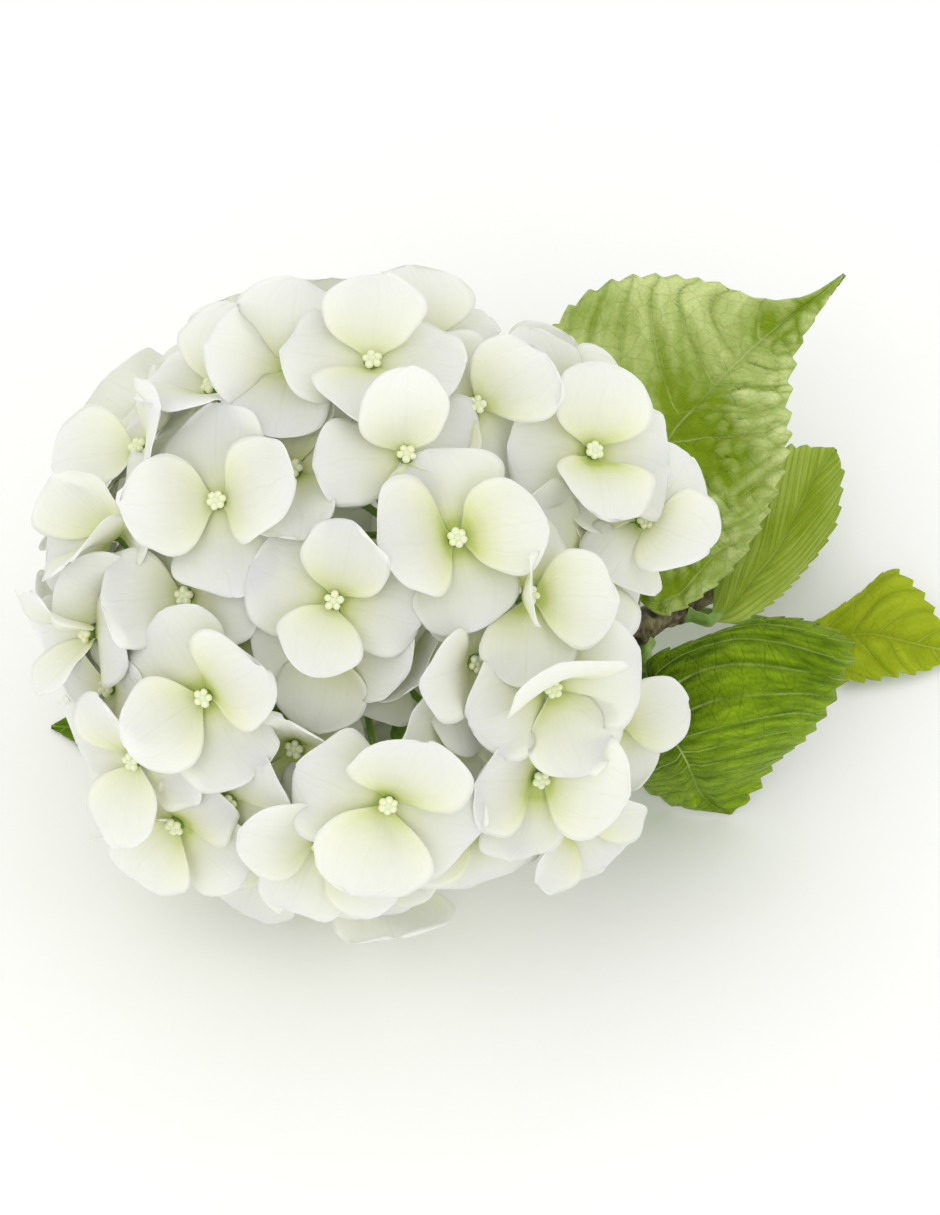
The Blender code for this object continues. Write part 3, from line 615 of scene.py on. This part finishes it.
button = Nodes("button_and_pedicel")
tone = button.calc("ADD", button.kept("tone"), button.calc("MULTIPLY", button.grain(500.0), 0.08))
# The darkest step, at the foot's tone, is the foot's green darkened as painted shade.
button_colour = button.ramp(
    tone, (0.0, (0.13, 0.26, 0.02)), (0.3, (0.24, 0.38, 0.05)), (0.5, (0.15, 0.24, 0.03)),
    (0.7, (0.60, 0.66, 0.32)), (0.95, (0.80, 0.83, 0.58)))
button.put(button_colour, button.surface.inputs["Base Color"])
button.surface.inputs["Roughness"].default_value = 0.5
button.surface.inputs["Subsurface Weight"].default_value = 0.2
button.surface.inputs["Subsurface Scale"].default_value = 0.001
button.bump(button.grain(1500.0), 0.3, 0.0002)

for node, members in by_node.items():
    bm = bmesh.new()
    layer = bm.verts.layers.float.new("tone")
    for count, floret in enumerate(members):
        chance = random.Random(f"{node}-button-{count}")
        lobes = chance.choice((5, 5, 6))
        spin = chance.uniform(0.0, 4.0)
        add_ball(bm, floret.centre + 0.7 * floret.axis, 2.3, layer, FOOT_TONE, floret.axis, 0.5)
        add_ball(bm, floret.centre + 2.0 * floret.axis, 1.25, layer, CROWN_TONE, floret.axis, 0.8)
        for lobe in range(lobes):
            side = floret.direction(spin + 4.0 * lobe / lobes)
            ring = LOBE_RING * chance.uniform(0.94, 1.08)
            place = floret.centre + LOBE_HEIGHT * floret.axis + ring * side
            size = LOBE_RADIUS * chance.uniform(0.88, 1.08)
            add_ball(bm, place, size, layer, LOBE_TONE, floret.axis, 0.85)
        foot = floret.centre - 0.2 * floret.axis
        away = (foot - floret.route[0]).normalized()
        neck = foot - NECK_LENGTH * (0.55 * away + 0.45 * floret.axis)
        run = floret.route[0] - neck
        sag = 0.03 * run.length * away.orthogonal().normalized()
        route = [foot, foot.lerp(neck, 0.5), neck, neck + 0.35 * run + sag, neck + 0.7 * run + 0.8 * sag]
        route += floret.route
        grown_tube(bm, route, PEDICEL_RADII[:len(route)], PEDICEL_SIDES, layer, PEDICEL_TONE)
    bmesh.ops.recalc_face_normals(bm, faces=bm.faces)
    finished(f"{node}_button", bm, [button.material], [node])

# ------------------------------------------------------------------ flower stalk
# Inside the head a soft green stalk rises from the woody stem and parts into rays, each with a
# knob from which the florets' pedicels spring. It is one grown piece, so its joints are rounded.

STALK_GRAIN = 0.9
stalk_mesh = bmesh.new()
stalk_mesh.from_mesh(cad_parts["flower_stalk"].data)
bmesh.ops.remove_doubles(stalk_mesh, verts=stalk_mesh.verts, dist=0.01 * MM)
bmesh.ops.scale(stalk_mesh, verts=stalk_mesh.verts, vec=(1.0 / MM, 1.0 / MM, 1.0 / MM))
bmesh.ops.translate(stalk_mesh, verts=stalk_mesh.verts, vec=-GROUND_POINT)

green = Nodes("stalk_green")
streak = green.grain(260.0, 3.0)
stalk_colour = green.ramp(
    streak, (0.25, (0.12, 0.22, 0.02)), (0.5, (0.22, 0.36, 0.04)), (0.8, (0.36, 0.48, 0.10)))
green.put(stalk_colour, green.surface.inputs["Base Color"])
green.surface.inputs["Roughness"].default_value = 0.42
green.surface.inputs["Subsurface Weight"].default_value = 0.15
green.surface.inputs["Subsurface Scale"].default_value = 0.001
green.bump(green.grain(1200.0), 0.35, 0.0003)

stalk = finished("flower_stalk_grown", stalk_mesh, [green.material], ["flower_stalk"])
grown = stalk.modifiers.new("grown_together", "REMESH")
grown.mode = "VOXEL"
grown.voxel_size = STALK_GRAIN * MM
grown.use_smooth_shade = True
rounded = stalk.modifiers.new("rounded_joints", "SMOOTH")
rounded.factor = 0.5
rounded.iterations = 6

# ------------------------------------------------------------------ woody stem
# Last year's wood: a brown, knobbly stick as thick as a pencil, with long cracks in its thin bark,
# small raised pores, and a swelling with leaf scars at each pair of leaves.

# The stem's middle line and how thick it is there, against STEM_RADIUS. Between its swellings it
# is PLAIN_WIDTH thick.
STEM_ROUTE = ((41.0, 7.0, 58.0, 0.85), (52, 8.9, 52.7, 0.88), (64, 11.5, 48.5, 0.95),
              (73, 14.5, 45.5, 1.12), (78, 18.0, 42.2, 1.15), (83, 24, 37.5, 0.95),
              (89, 32, 31.5, 1.15), (94, 38.5, 27, 0.95), (104, 52, 18.5, 0.95),
              (114, 66, 10.5, 0.98), (122, 77, 4.9, 1.0))
STEM_RADIUS = 4.2
STEM_RINGS = 190
STEM_SIDES = 30
CRACK_WIDTH = 0.16
PLAIN_WIDTH = 0.95


def smooth_between(values, at):
    """The values, as vectors, read on one smooth curve: at runs from 0 to their last index."""
    index = min(int(at), len(values) - 2)
    share = at - index
    before = values[max(index - 1, 0)]
    start, end = values[index], values[index + 1]
    after = values[min(index + 2, len(values) - 1)]
    bend = 2.0 * before - 5.0 * start + 4.0 * end - after
    turn = 3.0 * (start - end) + after - before
    return start + 0.5 * share * (end - before + share * (bend + share * turn))


stem = bmesh.new()
stem_tone = stem.verts.layers.float.new("tone")
stations = [smooth_between([Vector(stop) for stop in STEM_ROUTE], (len(STEM_ROUTE) - 1) * step / STEM_RINGS)
            for step in range(STEM_RINGS + 1)]
centres = [station.to_3d() for station in stations]
corners = grown_tube(stem, centres, [STEM_RADIUS * station.w for station in stations], STEM_SIDES)
for count, corner in enumerate(corners):
    centre = centres[count // STEM_SIDES]
    away = corner.co - centre
    swollen = stations[count // STEM_SIDES].w - PLAIN_WIDTH
    along_stem = 0.085 * count / STEM_SIDES
    coarse = noise.fractal(Vector((0.35 * away.x, 0.35 * away.y, 0.35 * away.z + along_stem)), 1.0, 2.0, 3)
    ridge = abs(noise.noise(Vector((1.1 * away.x, 1.1 * away.y, 1.1 * away.z + 0.5 * along_stem))))
    crack = max(CRACK_WIDTH - ridge, 0.0) / CRACK_WIDTH
    pore = max(noise.noise(0.9 * corner.co) - 0.42, 0.0)
    scar = max(swollen, 0.0) * noise.noise(0.42 * corner.co)
    corner.co += (0.45 * coarse - 0.55 * crack + 1.6 * pore + 5.0 * scar) * away.normalized()
    corner[stem_tone] = 0.5 + 0.5 * coarse - 0.5 * crack + 1.2 * pore + 0.8 * scar

bark = Nodes("bark_brown")
speck = bark.calc("MULTIPLY", bark.calc("SUBTRACT", bark.grain(420.0, 5.0), 0.5), 0.9)
bark_colour = bark.ramp(
    bark.calc("ADD", bark.kept("tone"), speck),
    (0.05, (0.022, 0.017, 0.007)), (0.35, (0.075, 0.062, 0.024)), (0.6, (0.17, 0.14, 0.055)),
    (0.8, (0.27, 0.23, 0.12)), (1.0, (0.42, 0.37, 0.24)))
bark.put(bark_colour, bark.surface.inputs["Base Color"])
bark.surface.inputs["Roughness"].default_value = 0.75
bark.bump(bark.calc("ADD", bark.grain(500.0, 4.0), bark.grain(1700.0)), 0.6, 0.0005)
bmesh.ops.recalc_face_normals(stem, faces=stem.faces)
finished("woody_stem_bark", stem, [bark.material], ["woody_stem"])

# ------------------------------------------------------------------ leaf blades
# Broad toothed blades, thin and springy, dark green when old and yellow-green when young. Each has
# a sunken midrib, side veins that arch toward the tip, and skin that is quilted between them.

# blade: across it, from its foot to its tip, the midrib's point with the left and right margins'
# points beside it. teeth and veins: mm from one to the next. lean and arch: how far a side vein
# runs toward the tip as it nears the margin, against the half width. quilting: mm of relief, and
# crinkle is how much of it is loose cells. rib_depth: mm that the midrib is sunk. net and streaks:
# how clear the fine veins and the streaks beside the side veins are. The three colours are of the
# old skin, which is also painted as shade in hollows and along the veins, of the young skin, which
# is also painted as sheen on ridges, margins and in patches, and of the veins. gloss: roughness.
# shine: how much it mirrors.
LEAVES = {
    "leaf_upper": dict(
        petiole=((76.4, 22.7, 45.4), (77, 25.5, 46.5)),
        blade=(((78, 29, 48.5), (70, 31, 50), (86, 19, 45.5)),
               ((79, 43, 52), (56, 58, 58), (103.5, 36, 43)),
               ((85.5, 69, 55.5), (49, 82, 63), (114.5, 56, 45.5)),
               ((96, 84, 57), (57, 105, 66), (119.5, 74.5, 50)),
               ((107, 96, 60), (74.5, 116.5, 69.5), (120, 89.5, 53)),
               ((116.5, 105, 61.5), (96, 116.5, 68), (122, 99, 56.5)),
               ((123.5, 111.5, 62), (112, 113.5, 64), (126, 106.5, 59)),
               ((130, 117, 62.5), (125.5, 116, 62.5), (131.5, 114.5, 61)),
               ((136.5, 123, 63), (136, 123.5, 63), (137, 122.5, 63))),
        teeth=6.5, tooth_depth=1.9, veins=11.5, lean=0.5, arch=0.55,
        quilting=2.3, crinkle=1.0, rib_depth=1.2, net=0.8, streaks=0.9, gloss=0.42, shine=0.14,
        deep_and_shade=(0.19, 0.29, 0.003), young_and_sheen=(0.61, 0.705, 0.29), vein=(0.50, 0.61, 0.22)),
    "leaf_front": dict(
        petiole=((79.8, 12.2, 40.0), (79.5, 6, 41)),
        blade=(((80, -3, 46), (85, 7, 48), (75, -5, 42)),
               ((83, -14, 49), (113.5, 14.5, 51.5), (68, -12, 34)),
               ((86, -21, 46), (133.5, 7.5, 52.5), (66, -12, 24)),
               ((90, -23, 37), (132.5, -1, 43), (70, -10, 15)),
               ((93, -22, 24), (124, -7, 29), (75, -9, 8)),
               ((95, -19, 13), (115, -10.5, 17), (84, -12, 3.5)),
               ((98.5, -17.5, 5.5), (109, -14, 8.5), (93, -15, 2.5)),
               ((103.5, -16.5, 1.5), (104, -16.5, 1.6), (103, -16.5, 1.4))),
        teeth=5.4, tooth_depth=3.1, veins=6.4, lean=0.12, arch=0.34,
        quilting=0.9, crinkle=0.9, rib_depth=2.2, net=1.0, streaks=2.2, gloss=0.36, shine=0.06,
        deep_and_shade=(0.07, 0.14, 0.0003), young_and_sheen=(0.25, 0.395, 0.010), vein=(0.42, 0.55, 0.14)),
    "leaf_middle": dict(
        petiole=((93.6, 28.6, 31.6), (97.5, 27.5, 31)),
        blade=(((103, 32, 30), (99, 36, 32), (106.5, 31, 25.5)),
               ((110, 42, 30), (99, 49, 36), (116.5, 42, 20.5)),
               ((117, 52, 30), (103, 61, 40), (126, 55, 17.5)),
               ((122, 62, 31), (109, 71.5, 41.5), (133, 67.5, 19)),
               ((126.5, 72.5, 31.5), (118, 79, 40), (136, 77, 22)),
               ((130.5, 80, 32), (126, 83, 36.5), (136, 82, 27.5)),
               ((134, 86, 31.5), (133.5, 86.5, 31.5), (134.5, 85.5, 31.5))),
        teeth=5.0, tooth_depth=1.6, veins=7.0, lean=2.6, arch=0.5,
        quilting=0.3, crinkle=0.3, rib_depth=0.6, net=0.15, streaks=1.6, gloss=0.55, shine=0.08,
        deep_and_shade=(0.19, 0.275, 0.006), young_and_sheen=(0.38, 0.49, 0.09), vein=(0.33, 0.44, 0.08)),
    "leaf_right": dict(
        petiole=((84.0, 35.7, 31.4), (81.5, 38, 28), (84, 40.5, 21), (92, 42, 15.5),
                 (103, 42, 12.5), (114, 41, 11), (121, 39.5, 10)),
        blade=(((129.5, 38, 9.5), (129.5, 43, 10.5), (129.5, 34, 7.5)),
               ((136.5, 37.5, 10), (139.5, 49.5, 11.5), (136, 26.5, 5)),
               ((143, 38, 10), (149, 56.5, 14.5), (143, 27, 3.5)),
               ((150, 37, 9), (156, 52, 13), (151, 29, 3)),
               ((158, 36, 7), (161.5, 44.5, 9.5), (158.5, 30.5, 2.5)),
               ((165, 36, 4.5), (165, 39, 5), (165, 33, 3)),
               ((172, 36, 2), (172, 36.5, 2), (172, 35.5, 2))),
        teeth=4.6, tooth_depth=1.5, veins=8.5, lean=0.5, arch=0.4,
        quilting=1.0, crinkle=0.5, rib_depth=0.8, net=0.5, streaks=1.2, gloss=0.42, shine=0.06,
        deep_and_shade=(0.22, 0.30, 0.002), young_and_sheen=(0.38, 0.47, 0.02), vein=(0.46, 0.55, 0.08)),
    "leaf_under": dict(
        petiole=((55.4, 9.4, 46.2), (54.5, 8, 40), (50, 5.5, 26)),
        blade=(((44, 4, 14), (44, -4, 14), (44, 12, 14)),
               ((35, 3, 5), (34, -20, 6), (36, 25, 6)),
               ((24, 3, 1.4), (23, -29, 2), (24, 35, 2)),
               ((6, 4, 0.6), (5, -31, 1), (6, 40, 1)),
               ((-18, 7, 0.6), (-19, -27, 1), (-17, 41, 1)),
               ((-42, 9, 0.6), (-43, -14, 1), (-41, 33, 1)),
               ((-60, 11, 0.6), (-60, -1, 0.8), (-59, 23, 0.8)),
               ((-74, 12.5, 0.6), (-74, 5, 0.8), (-74, 20, 0.8)),
               ((-84, 13, 0.6), (-84, 12.4, 0.6), (-84, 13.6, 0.6))),
        teeth=6.0, tooth_depth=1.6, veins=9.0, lean=0.5, arch=0.5,
        quilting=0.8, crinkle=0.5, rib_depth=0.1, net=1.0, streaks=1.5, gloss=0.4, shine=0.06,
        deep_and_shade=(0.06, 0.13, 0.002), young_and_sheen=(0.13, 0.24, 0.008), vein=(0.24, 0.38, 0.05)),
}
BLADE_ROWS = 250
BLADE_COLUMNS = 44
BLADE_THICKNESS = 0.45
# MARGIN_BAND: share of the half width that the teeth cut into. TOOTH_BACK and TOOTH_FRONT: shares
# of a tooth that its long back and its short front take. LEAST_HEIGHT: mm that a blade stays up.
MARGIN_BAND = 0.22
TOOTH_BACK = 0.82
TOOTH_FRONT = 0.18
LEAST_HEIGHT = 0.35


def add_blade(bm, leaf, chance):
    """The blade as a shaped grid, whose corners keep their place on it for the skin's veins."""
    names = ("along", "lateral", "vein_place", "share", "relief_shade_and_sheen")
    kept = {name: bm.verts.layers.float.new(name) for name in names}
    foot = leaf["petiole"][-1]
    blade = ((foot, foot, foot), *leaf["blade"])
    lines = [[Vector(station[part]) for station in blade] for part in range(3)]
    last = len(leaf["blade"])
    rows, so_far = [], Vector()
    for row in range(BLADE_ROWS + 1):
        at = last * row / BLADE_ROWS
        middle, left, right = (smooth_between(line, at) for line in lines)
        ahead = smooth_between(lines[0], min(at + 0.1, last)) - smooth_between(lines[0], max(at - 0.1, 0.0))
        normal = (right - left).cross(ahead).normalized()
        if rows:
            steps = zip((middle, left, right), rows[-1])
            so_far = so_far + Vector([(now - before).length for now, before in steps])
        rows.append((middle, left, right, ahead.normalized(), normal, so_far))
    wave_start = chance.uniform(0.0, math.tau)
    grid = bmesh.ops.create_grid(bm, x_segments=BLADE_COLUMNS, y_segments=BLADE_ROWS, size=0.5)
    for corner in grid["verts"]:
        row = round((corner.co.y + 0.5) * BLADE_ROWS)
        across = 2.0 * corner.co.x
        share = abs(across)
        middle, left, right, ahead, normal, (along, left_run, right_run) = rows[row]
        margin = (right if across > 0.0 else left) - middle
        half = margin.length
        outward = margin.normalized()
        lateral = math.copysign(share * half, across)
        grown = min(half / 14.0, 1.0)
        straying = noise.noise(Vector((along / 16.0, math.copysign(3.0, across), wave_start)))
        strayed = along + 0.45 * leaf["veins"] * straying
        place = (strayed - half * (leaf["lean"] * share + leaf["arch"] * share ** 3)) / leaf["veins"]
        margin_run = right_run if across > 0.0 else left_run
        tooth = (margin_run / leaf["teeth"] + 0.18 * math.sin(0.11 * margin_run + wave_start)) % 1.0
        tooth = tooth / TOOTH_BACK if tooth < TOOTH_BACK else (1.0 - tooth) / TOOTH_FRONT
        band = max(share - 1.0 + MARGIN_BAND, 0.0) / MARGIN_BAND
        bite = leaf["tooth_depth"] * tooth * band ** 2 * min(half / 9.0, 1.0) ** 2 * min(row / 20.0, 1.0)
        between = abs(math.sin(math.pi * place)) ** 0.55
        away_from_rib = min(share * half / 2.5, 1.0)
        bent = 0.25 * noise.noise(Vector((along / 7.0, lateral / 7.0, wave_start)))
        cells = noise.voronoi(Vector((along / 6.4 + bent, lateral / 5.4 - bent, wave_start)))[0]
        bulge = min(1.5 * (cells[1] - cells[0]), 1.0)
        to_the_right = math.copysign(min(share * 3.0, 1.0), across)
        loose = leaf["crinkle"] * (0.7 + 0.6 * to_the_right)
        swell = 0.5 - 0.15 * leaf["crinkle"] * to_the_right
        quilt = swell * (between - 0.65) + loose * (bulge - 0.5)
        raised = leaf["quilting"] * quilt * away_from_rib * grown * (1.0 - 0.75 * share ** 5)
        raised += 0.24 * half * share * (1.0 - share)
        raised -= leaf["rib_depth"] * grown * math.exp(-((lateral / (0.8 + 0.6 * leaf["rib_depth"])) ** 2))
        wave = 0.23 * along + wave_start + (2.0 if across > 0.0 else 0.0)
        raised += 0.9 * grown * share ** 3 * math.sin(wave)
        corner.co = middle + lateral * math.copysign(1.0, across) * outward + raised * normal
        corner.co += bite * (0.9 * outward + 0.45 * ahead)
        corner.co -= 0.35 * leaf["tooth_depth"] * band * outward
        corner.co.z = max(corner.co.z, LEAST_HEIGHT)
        corner[kept["along"]] = along
        corner[kept["lateral"]] = lateral
        corner[kept["vein_place"]] = place
        corner[kept["share"]] = share
        # The relief's height is kept to paint shade into its hollows and sheen onto its ridges.
        corner[kept["relief_shade_and_sheen"]] = 0.5 + 0.75 * quilt * away_from_rib
    bmesh.ops.remove_doubles(bm, verts=bm.verts, dist=0.05)


def on_a_vein(nodes, leaf, width):
    """1 on the midrib and the side veins, 0 away from them; width is the veins' own, in mm."""
    stray = nodes.calc("MULTIPLY", nodes.calc("SUBTRACT", nodes.grain(90.0), 0.5), 0.5 / leaf["veins"])
    place = nodes.calc("ADD", nodes.kept("vein_place"), stray)
    off = nodes.calc("ABSOLUTE", nodes.calc("SUBTRACT", place, nodes.calc("ROUND", place)))
    side = nodes.calc("SUBTRACT", 1.0, nodes.calc("MULTIPLY", off, 2.0 * leaf["veins"] / width))
    from_rib = nodes.calc("ABSOLUTE", nodes.kept("lateral"))
    rib = nodes.calc("SUBTRACT", 1.25, nodes.calc("MULTIPLY", from_rib, 2.0 / width))
    return nodes.clipped(nodes.calc("MAXIMUM", side, rib))


def network(nodes, cell, thin):
    """The net of fine veins between the side veins: 1 on its threads and 0 in its meshes."""
    flat = nodes.add("ShaderNodeCombineXYZ", {0: nodes.kept("along"), 1: nodes.kept("lateral")}).outputs[0]
    net = nodes.add("ShaderNodeTexVoronoi", {"Vector": flat, "Scale": 1.0 / cell},
                    feature="DISTANCE_TO_EDGE", voronoi_dimensions="2D").outputs["Distance"]
    return nodes.calc("MAXIMUM", nodes.calc("SUBTRACT", 1.0, nodes.calc("MULTIPLY", net, 1.0 / thin)), 0.0)


def streaks_beside_veins(nodes):
    """Fine uneven streaks that run the way the side veins do."""
    across_them = nodes.calc("MULTIPLY", nodes.kept("vein_place"), 3.6)
    along_them = nodes.calc("MULTIPLY", nodes.kept("lateral"), 0.13)
    flat = nodes.add("ShaderNodeCombineXYZ", {0: across_them, 1: along_them}).outputs[0]
    return nodes.add("ShaderNodeTexNoise", {"Vector": flat, "Scale": 1.0, "Detail": 4.0}).outputs[0]


def leaf_skin(name, leaf, underside):
    """Green skin with new yellow-green patches over sunken veins, painted with sheen on its ridges,
    margins and in patches, and with shade in its hollows and along its veins. The underside is paler,
    and its veins stand out.
    """
    skin = Nodes(name)
    ribs = on_a_vein(skin, leaf, 0.9)
    shade_by_veins = on_a_vein(skin, leaf, 4.5)
    coarse_net, fine_net = network(skin, 4.2, 0.09), network(skin, 1.3, 0.16)
    # Painted shade in the quilting's hollows and painted sheen on its ridges, from the relief's height.
    relief_shade_and_sheen = skin.calc("MULTIPLY", skin.calc("SUBTRACT", skin.kept("relief_shade_and_sheen"), 0.5), 0.55)
    # Painted sheen: the skin is paler toward its margins and darker by the sunken midrib.
    sheen_toward_margin = skin.calc("MULTIPLY", skin.kept("share"), 0.5)
    patch = skin.calc("ADD", skin.calc("MULTIPLY", skin.grain(30.0, 4.0), 2.6), -1.05)
    streaks = skin.calc("MULTIPLY", skin.calc("SUBTRACT", streaks_beside_veins(skin), 0.5), leaf["streaks"])
    patch = skin.calc("ADD", skin.calc("ADD", patch, relief_shade_and_sheen), skin.calc("ADD", sheen_toward_margin, streaks))
    colour = skin.mix(skin.clipped(patch), leaf["deep_and_shade"], leaf["young_and_sheen"])
    # Painted shade: a broad darker band along the sunken midrib and side veins.
    colour = skin.mix(skin.calc("MULTIPLY", shade_by_veins, 0.3), colour, leaf["deep_and_shade"])
    # Painted shade in the sunken threads of the fine vein net.
    colour = skin.mix(skin.calc("MULTIPLY", coarse_net, 0.22 * leaf["net"]), colour, leaf["deep_and_shade"])
    colour = skin.mix(skin.calc("MULTIPLY", fine_net, 0.14 * leaf["net"]), colour, leaf["deep_and_shade"])
    worn = skin.calc("MAXIMUM", skin.calc("SUBTRACT", skin.grain(75.0, 3.0), 0.32), 0.0)
    worn = skin.calc("MULTIPLY", worn, 2.4)
    colour = skin.mix(skin.calc("MULTIPLY", ribs, worn), colour, leaf["vein"])
    edge = skin.calc("MULTIPLY", skin.calc("POWER", skin.kept("share"), 40.0), 0.35)
    colour = skin.mix(edge, colour, leaf["vein"])
    if underside:
        colour = skin.mix(0.55, colour, (0.42, 0.52, 0.26))
    skin.put(colour, skin.surface.inputs["Base Color"])
    skin.surface.inputs["Roughness"].default_value = 0.7 if underside else leaf["gloss"]
    skin.surface.inputs["Specular IOR Level"].default_value = leaf["shine"]
    skin.surface.inputs["Subsurface Weight"].default_value = 0.12
    skin.surface.inputs["Subsurface Scale"].default_value = 0.001
    coarse_grooves = skin.calc("MULTIPLY", coarse_net, 0.8 * leaf["net"])
    fine_grooves = skin.calc("MULTIPLY", fine_net, 0.4 * leaf["net"])
    grooves = skin.calc("ADD", skin.calc("MULTIPLY", ribs, 1.2), coarse_grooves)
    grooves = skin.calc("ADD", grooves, fine_grooves)
    depth = skin.calc("SUBTRACT", skin.calc("MULTIPLY", skin.grain(1400.0), 0.25), grooves)
    skin.bump(depth, -0.5 if underside else 0.5, 0.0006)
    return skin.material


for node, leaf in LEAVES.items():
    bm = bmesh.new()
    add_blade(bm, leaf, random.Random(node))
    skins = [leaf_skin(f"{node}_upper_side", leaf, False), leaf_skin(f"{node}_underside", leaf, True)]
    piece = finished(f"{node}_blade", bm, skins, [node])
    thickened(piece, BLADE_THICKNESS, under_material=1)

# ------------------------------------------------------------------ petioles
# A round fleshy petiole springs from each leaf's node on the wood, and carries on beneath the
# blade as its midrib, thinner and thinner to the tip.

PETIOLE_RADIUS = 1.75
PETIOLE_SIDES = 12
STALK_STEPS = 12
RIB_STEPS = 48

petiole_skin = Nodes("petiole_green")
petiole_colour = petiole_skin.ramp(
    petiole_skin.grain(300.0, 3.0),
    (0.3, (0.16, 0.30, 0.03)), (0.6, (0.27, 0.44, 0.07)), (0.85, (0.42, 0.55, 0.20)))
petiole_skin.put(petiole_colour, petiole_skin.surface.inputs["Base Color"])
petiole_skin.surface.inputs["Roughness"].default_value = 0.45
petiole_skin.surface.inputs["Subsurface Weight"].default_value = 0.12
petiole_skin.surface.inputs["Subsurface Scale"].default_value = 0.001
petiole_skin.bump(petiole_skin.grain(1100.0), 0.4, 0.0003)

for node, leaf in LEAVES.items():
    stalk_line = [Vector(point) for point in leaf["petiole"]]
    stalk_line[0] += 2.2 * (stalk_line[0] - stalk_line[1]).normalized()
    middles, lefts, rights = ([Vector(station[part]) for station in leaf["blade"]] for part in range(3))
    last = len(stalk_line) - 1
    route = [smooth_between(stalk_line, last * step / STALK_STEPS) for step in range(STALK_STEPS + 1)]
    radii = [PETIOLE_RADIUS * (1.6 - 0.6 * min(step / 4.0, 1.0)) for step in range(STALK_STEPS + 1)]
    for step in range(1, RIB_STEPS - 2):
        at = (len(middles) - 1) * step / RIB_STEPS
        thick = PETIOLE_RADIUS * (1.0 - step / RIB_STEPS) ** 0.8 * 0.8
        thick = min(thick, 0.3 * smooth_between(middles, at).z)
        ahead = smooth_between(middles, at + 0.05) - smooth_between(middles, max(at - 0.05, 0.0))
        normal = (smooth_between(rights, at) - smooth_between(lefts, at)).cross(ahead).normalized()
        route.append(smooth_between(middles, at) - (leaf["rib_depth"] + 0.1 + thick) * normal)
        radii.append(thick)
    bm = bmesh.new()
    grown_tube(bm, route, radii, PETIOLE_SIDES)
    bmesh.ops.recalc_face_normals(bm, faces=bm.faces)
    finished(f"{node}_petiole", bm, [petiole_skin.material], [node])
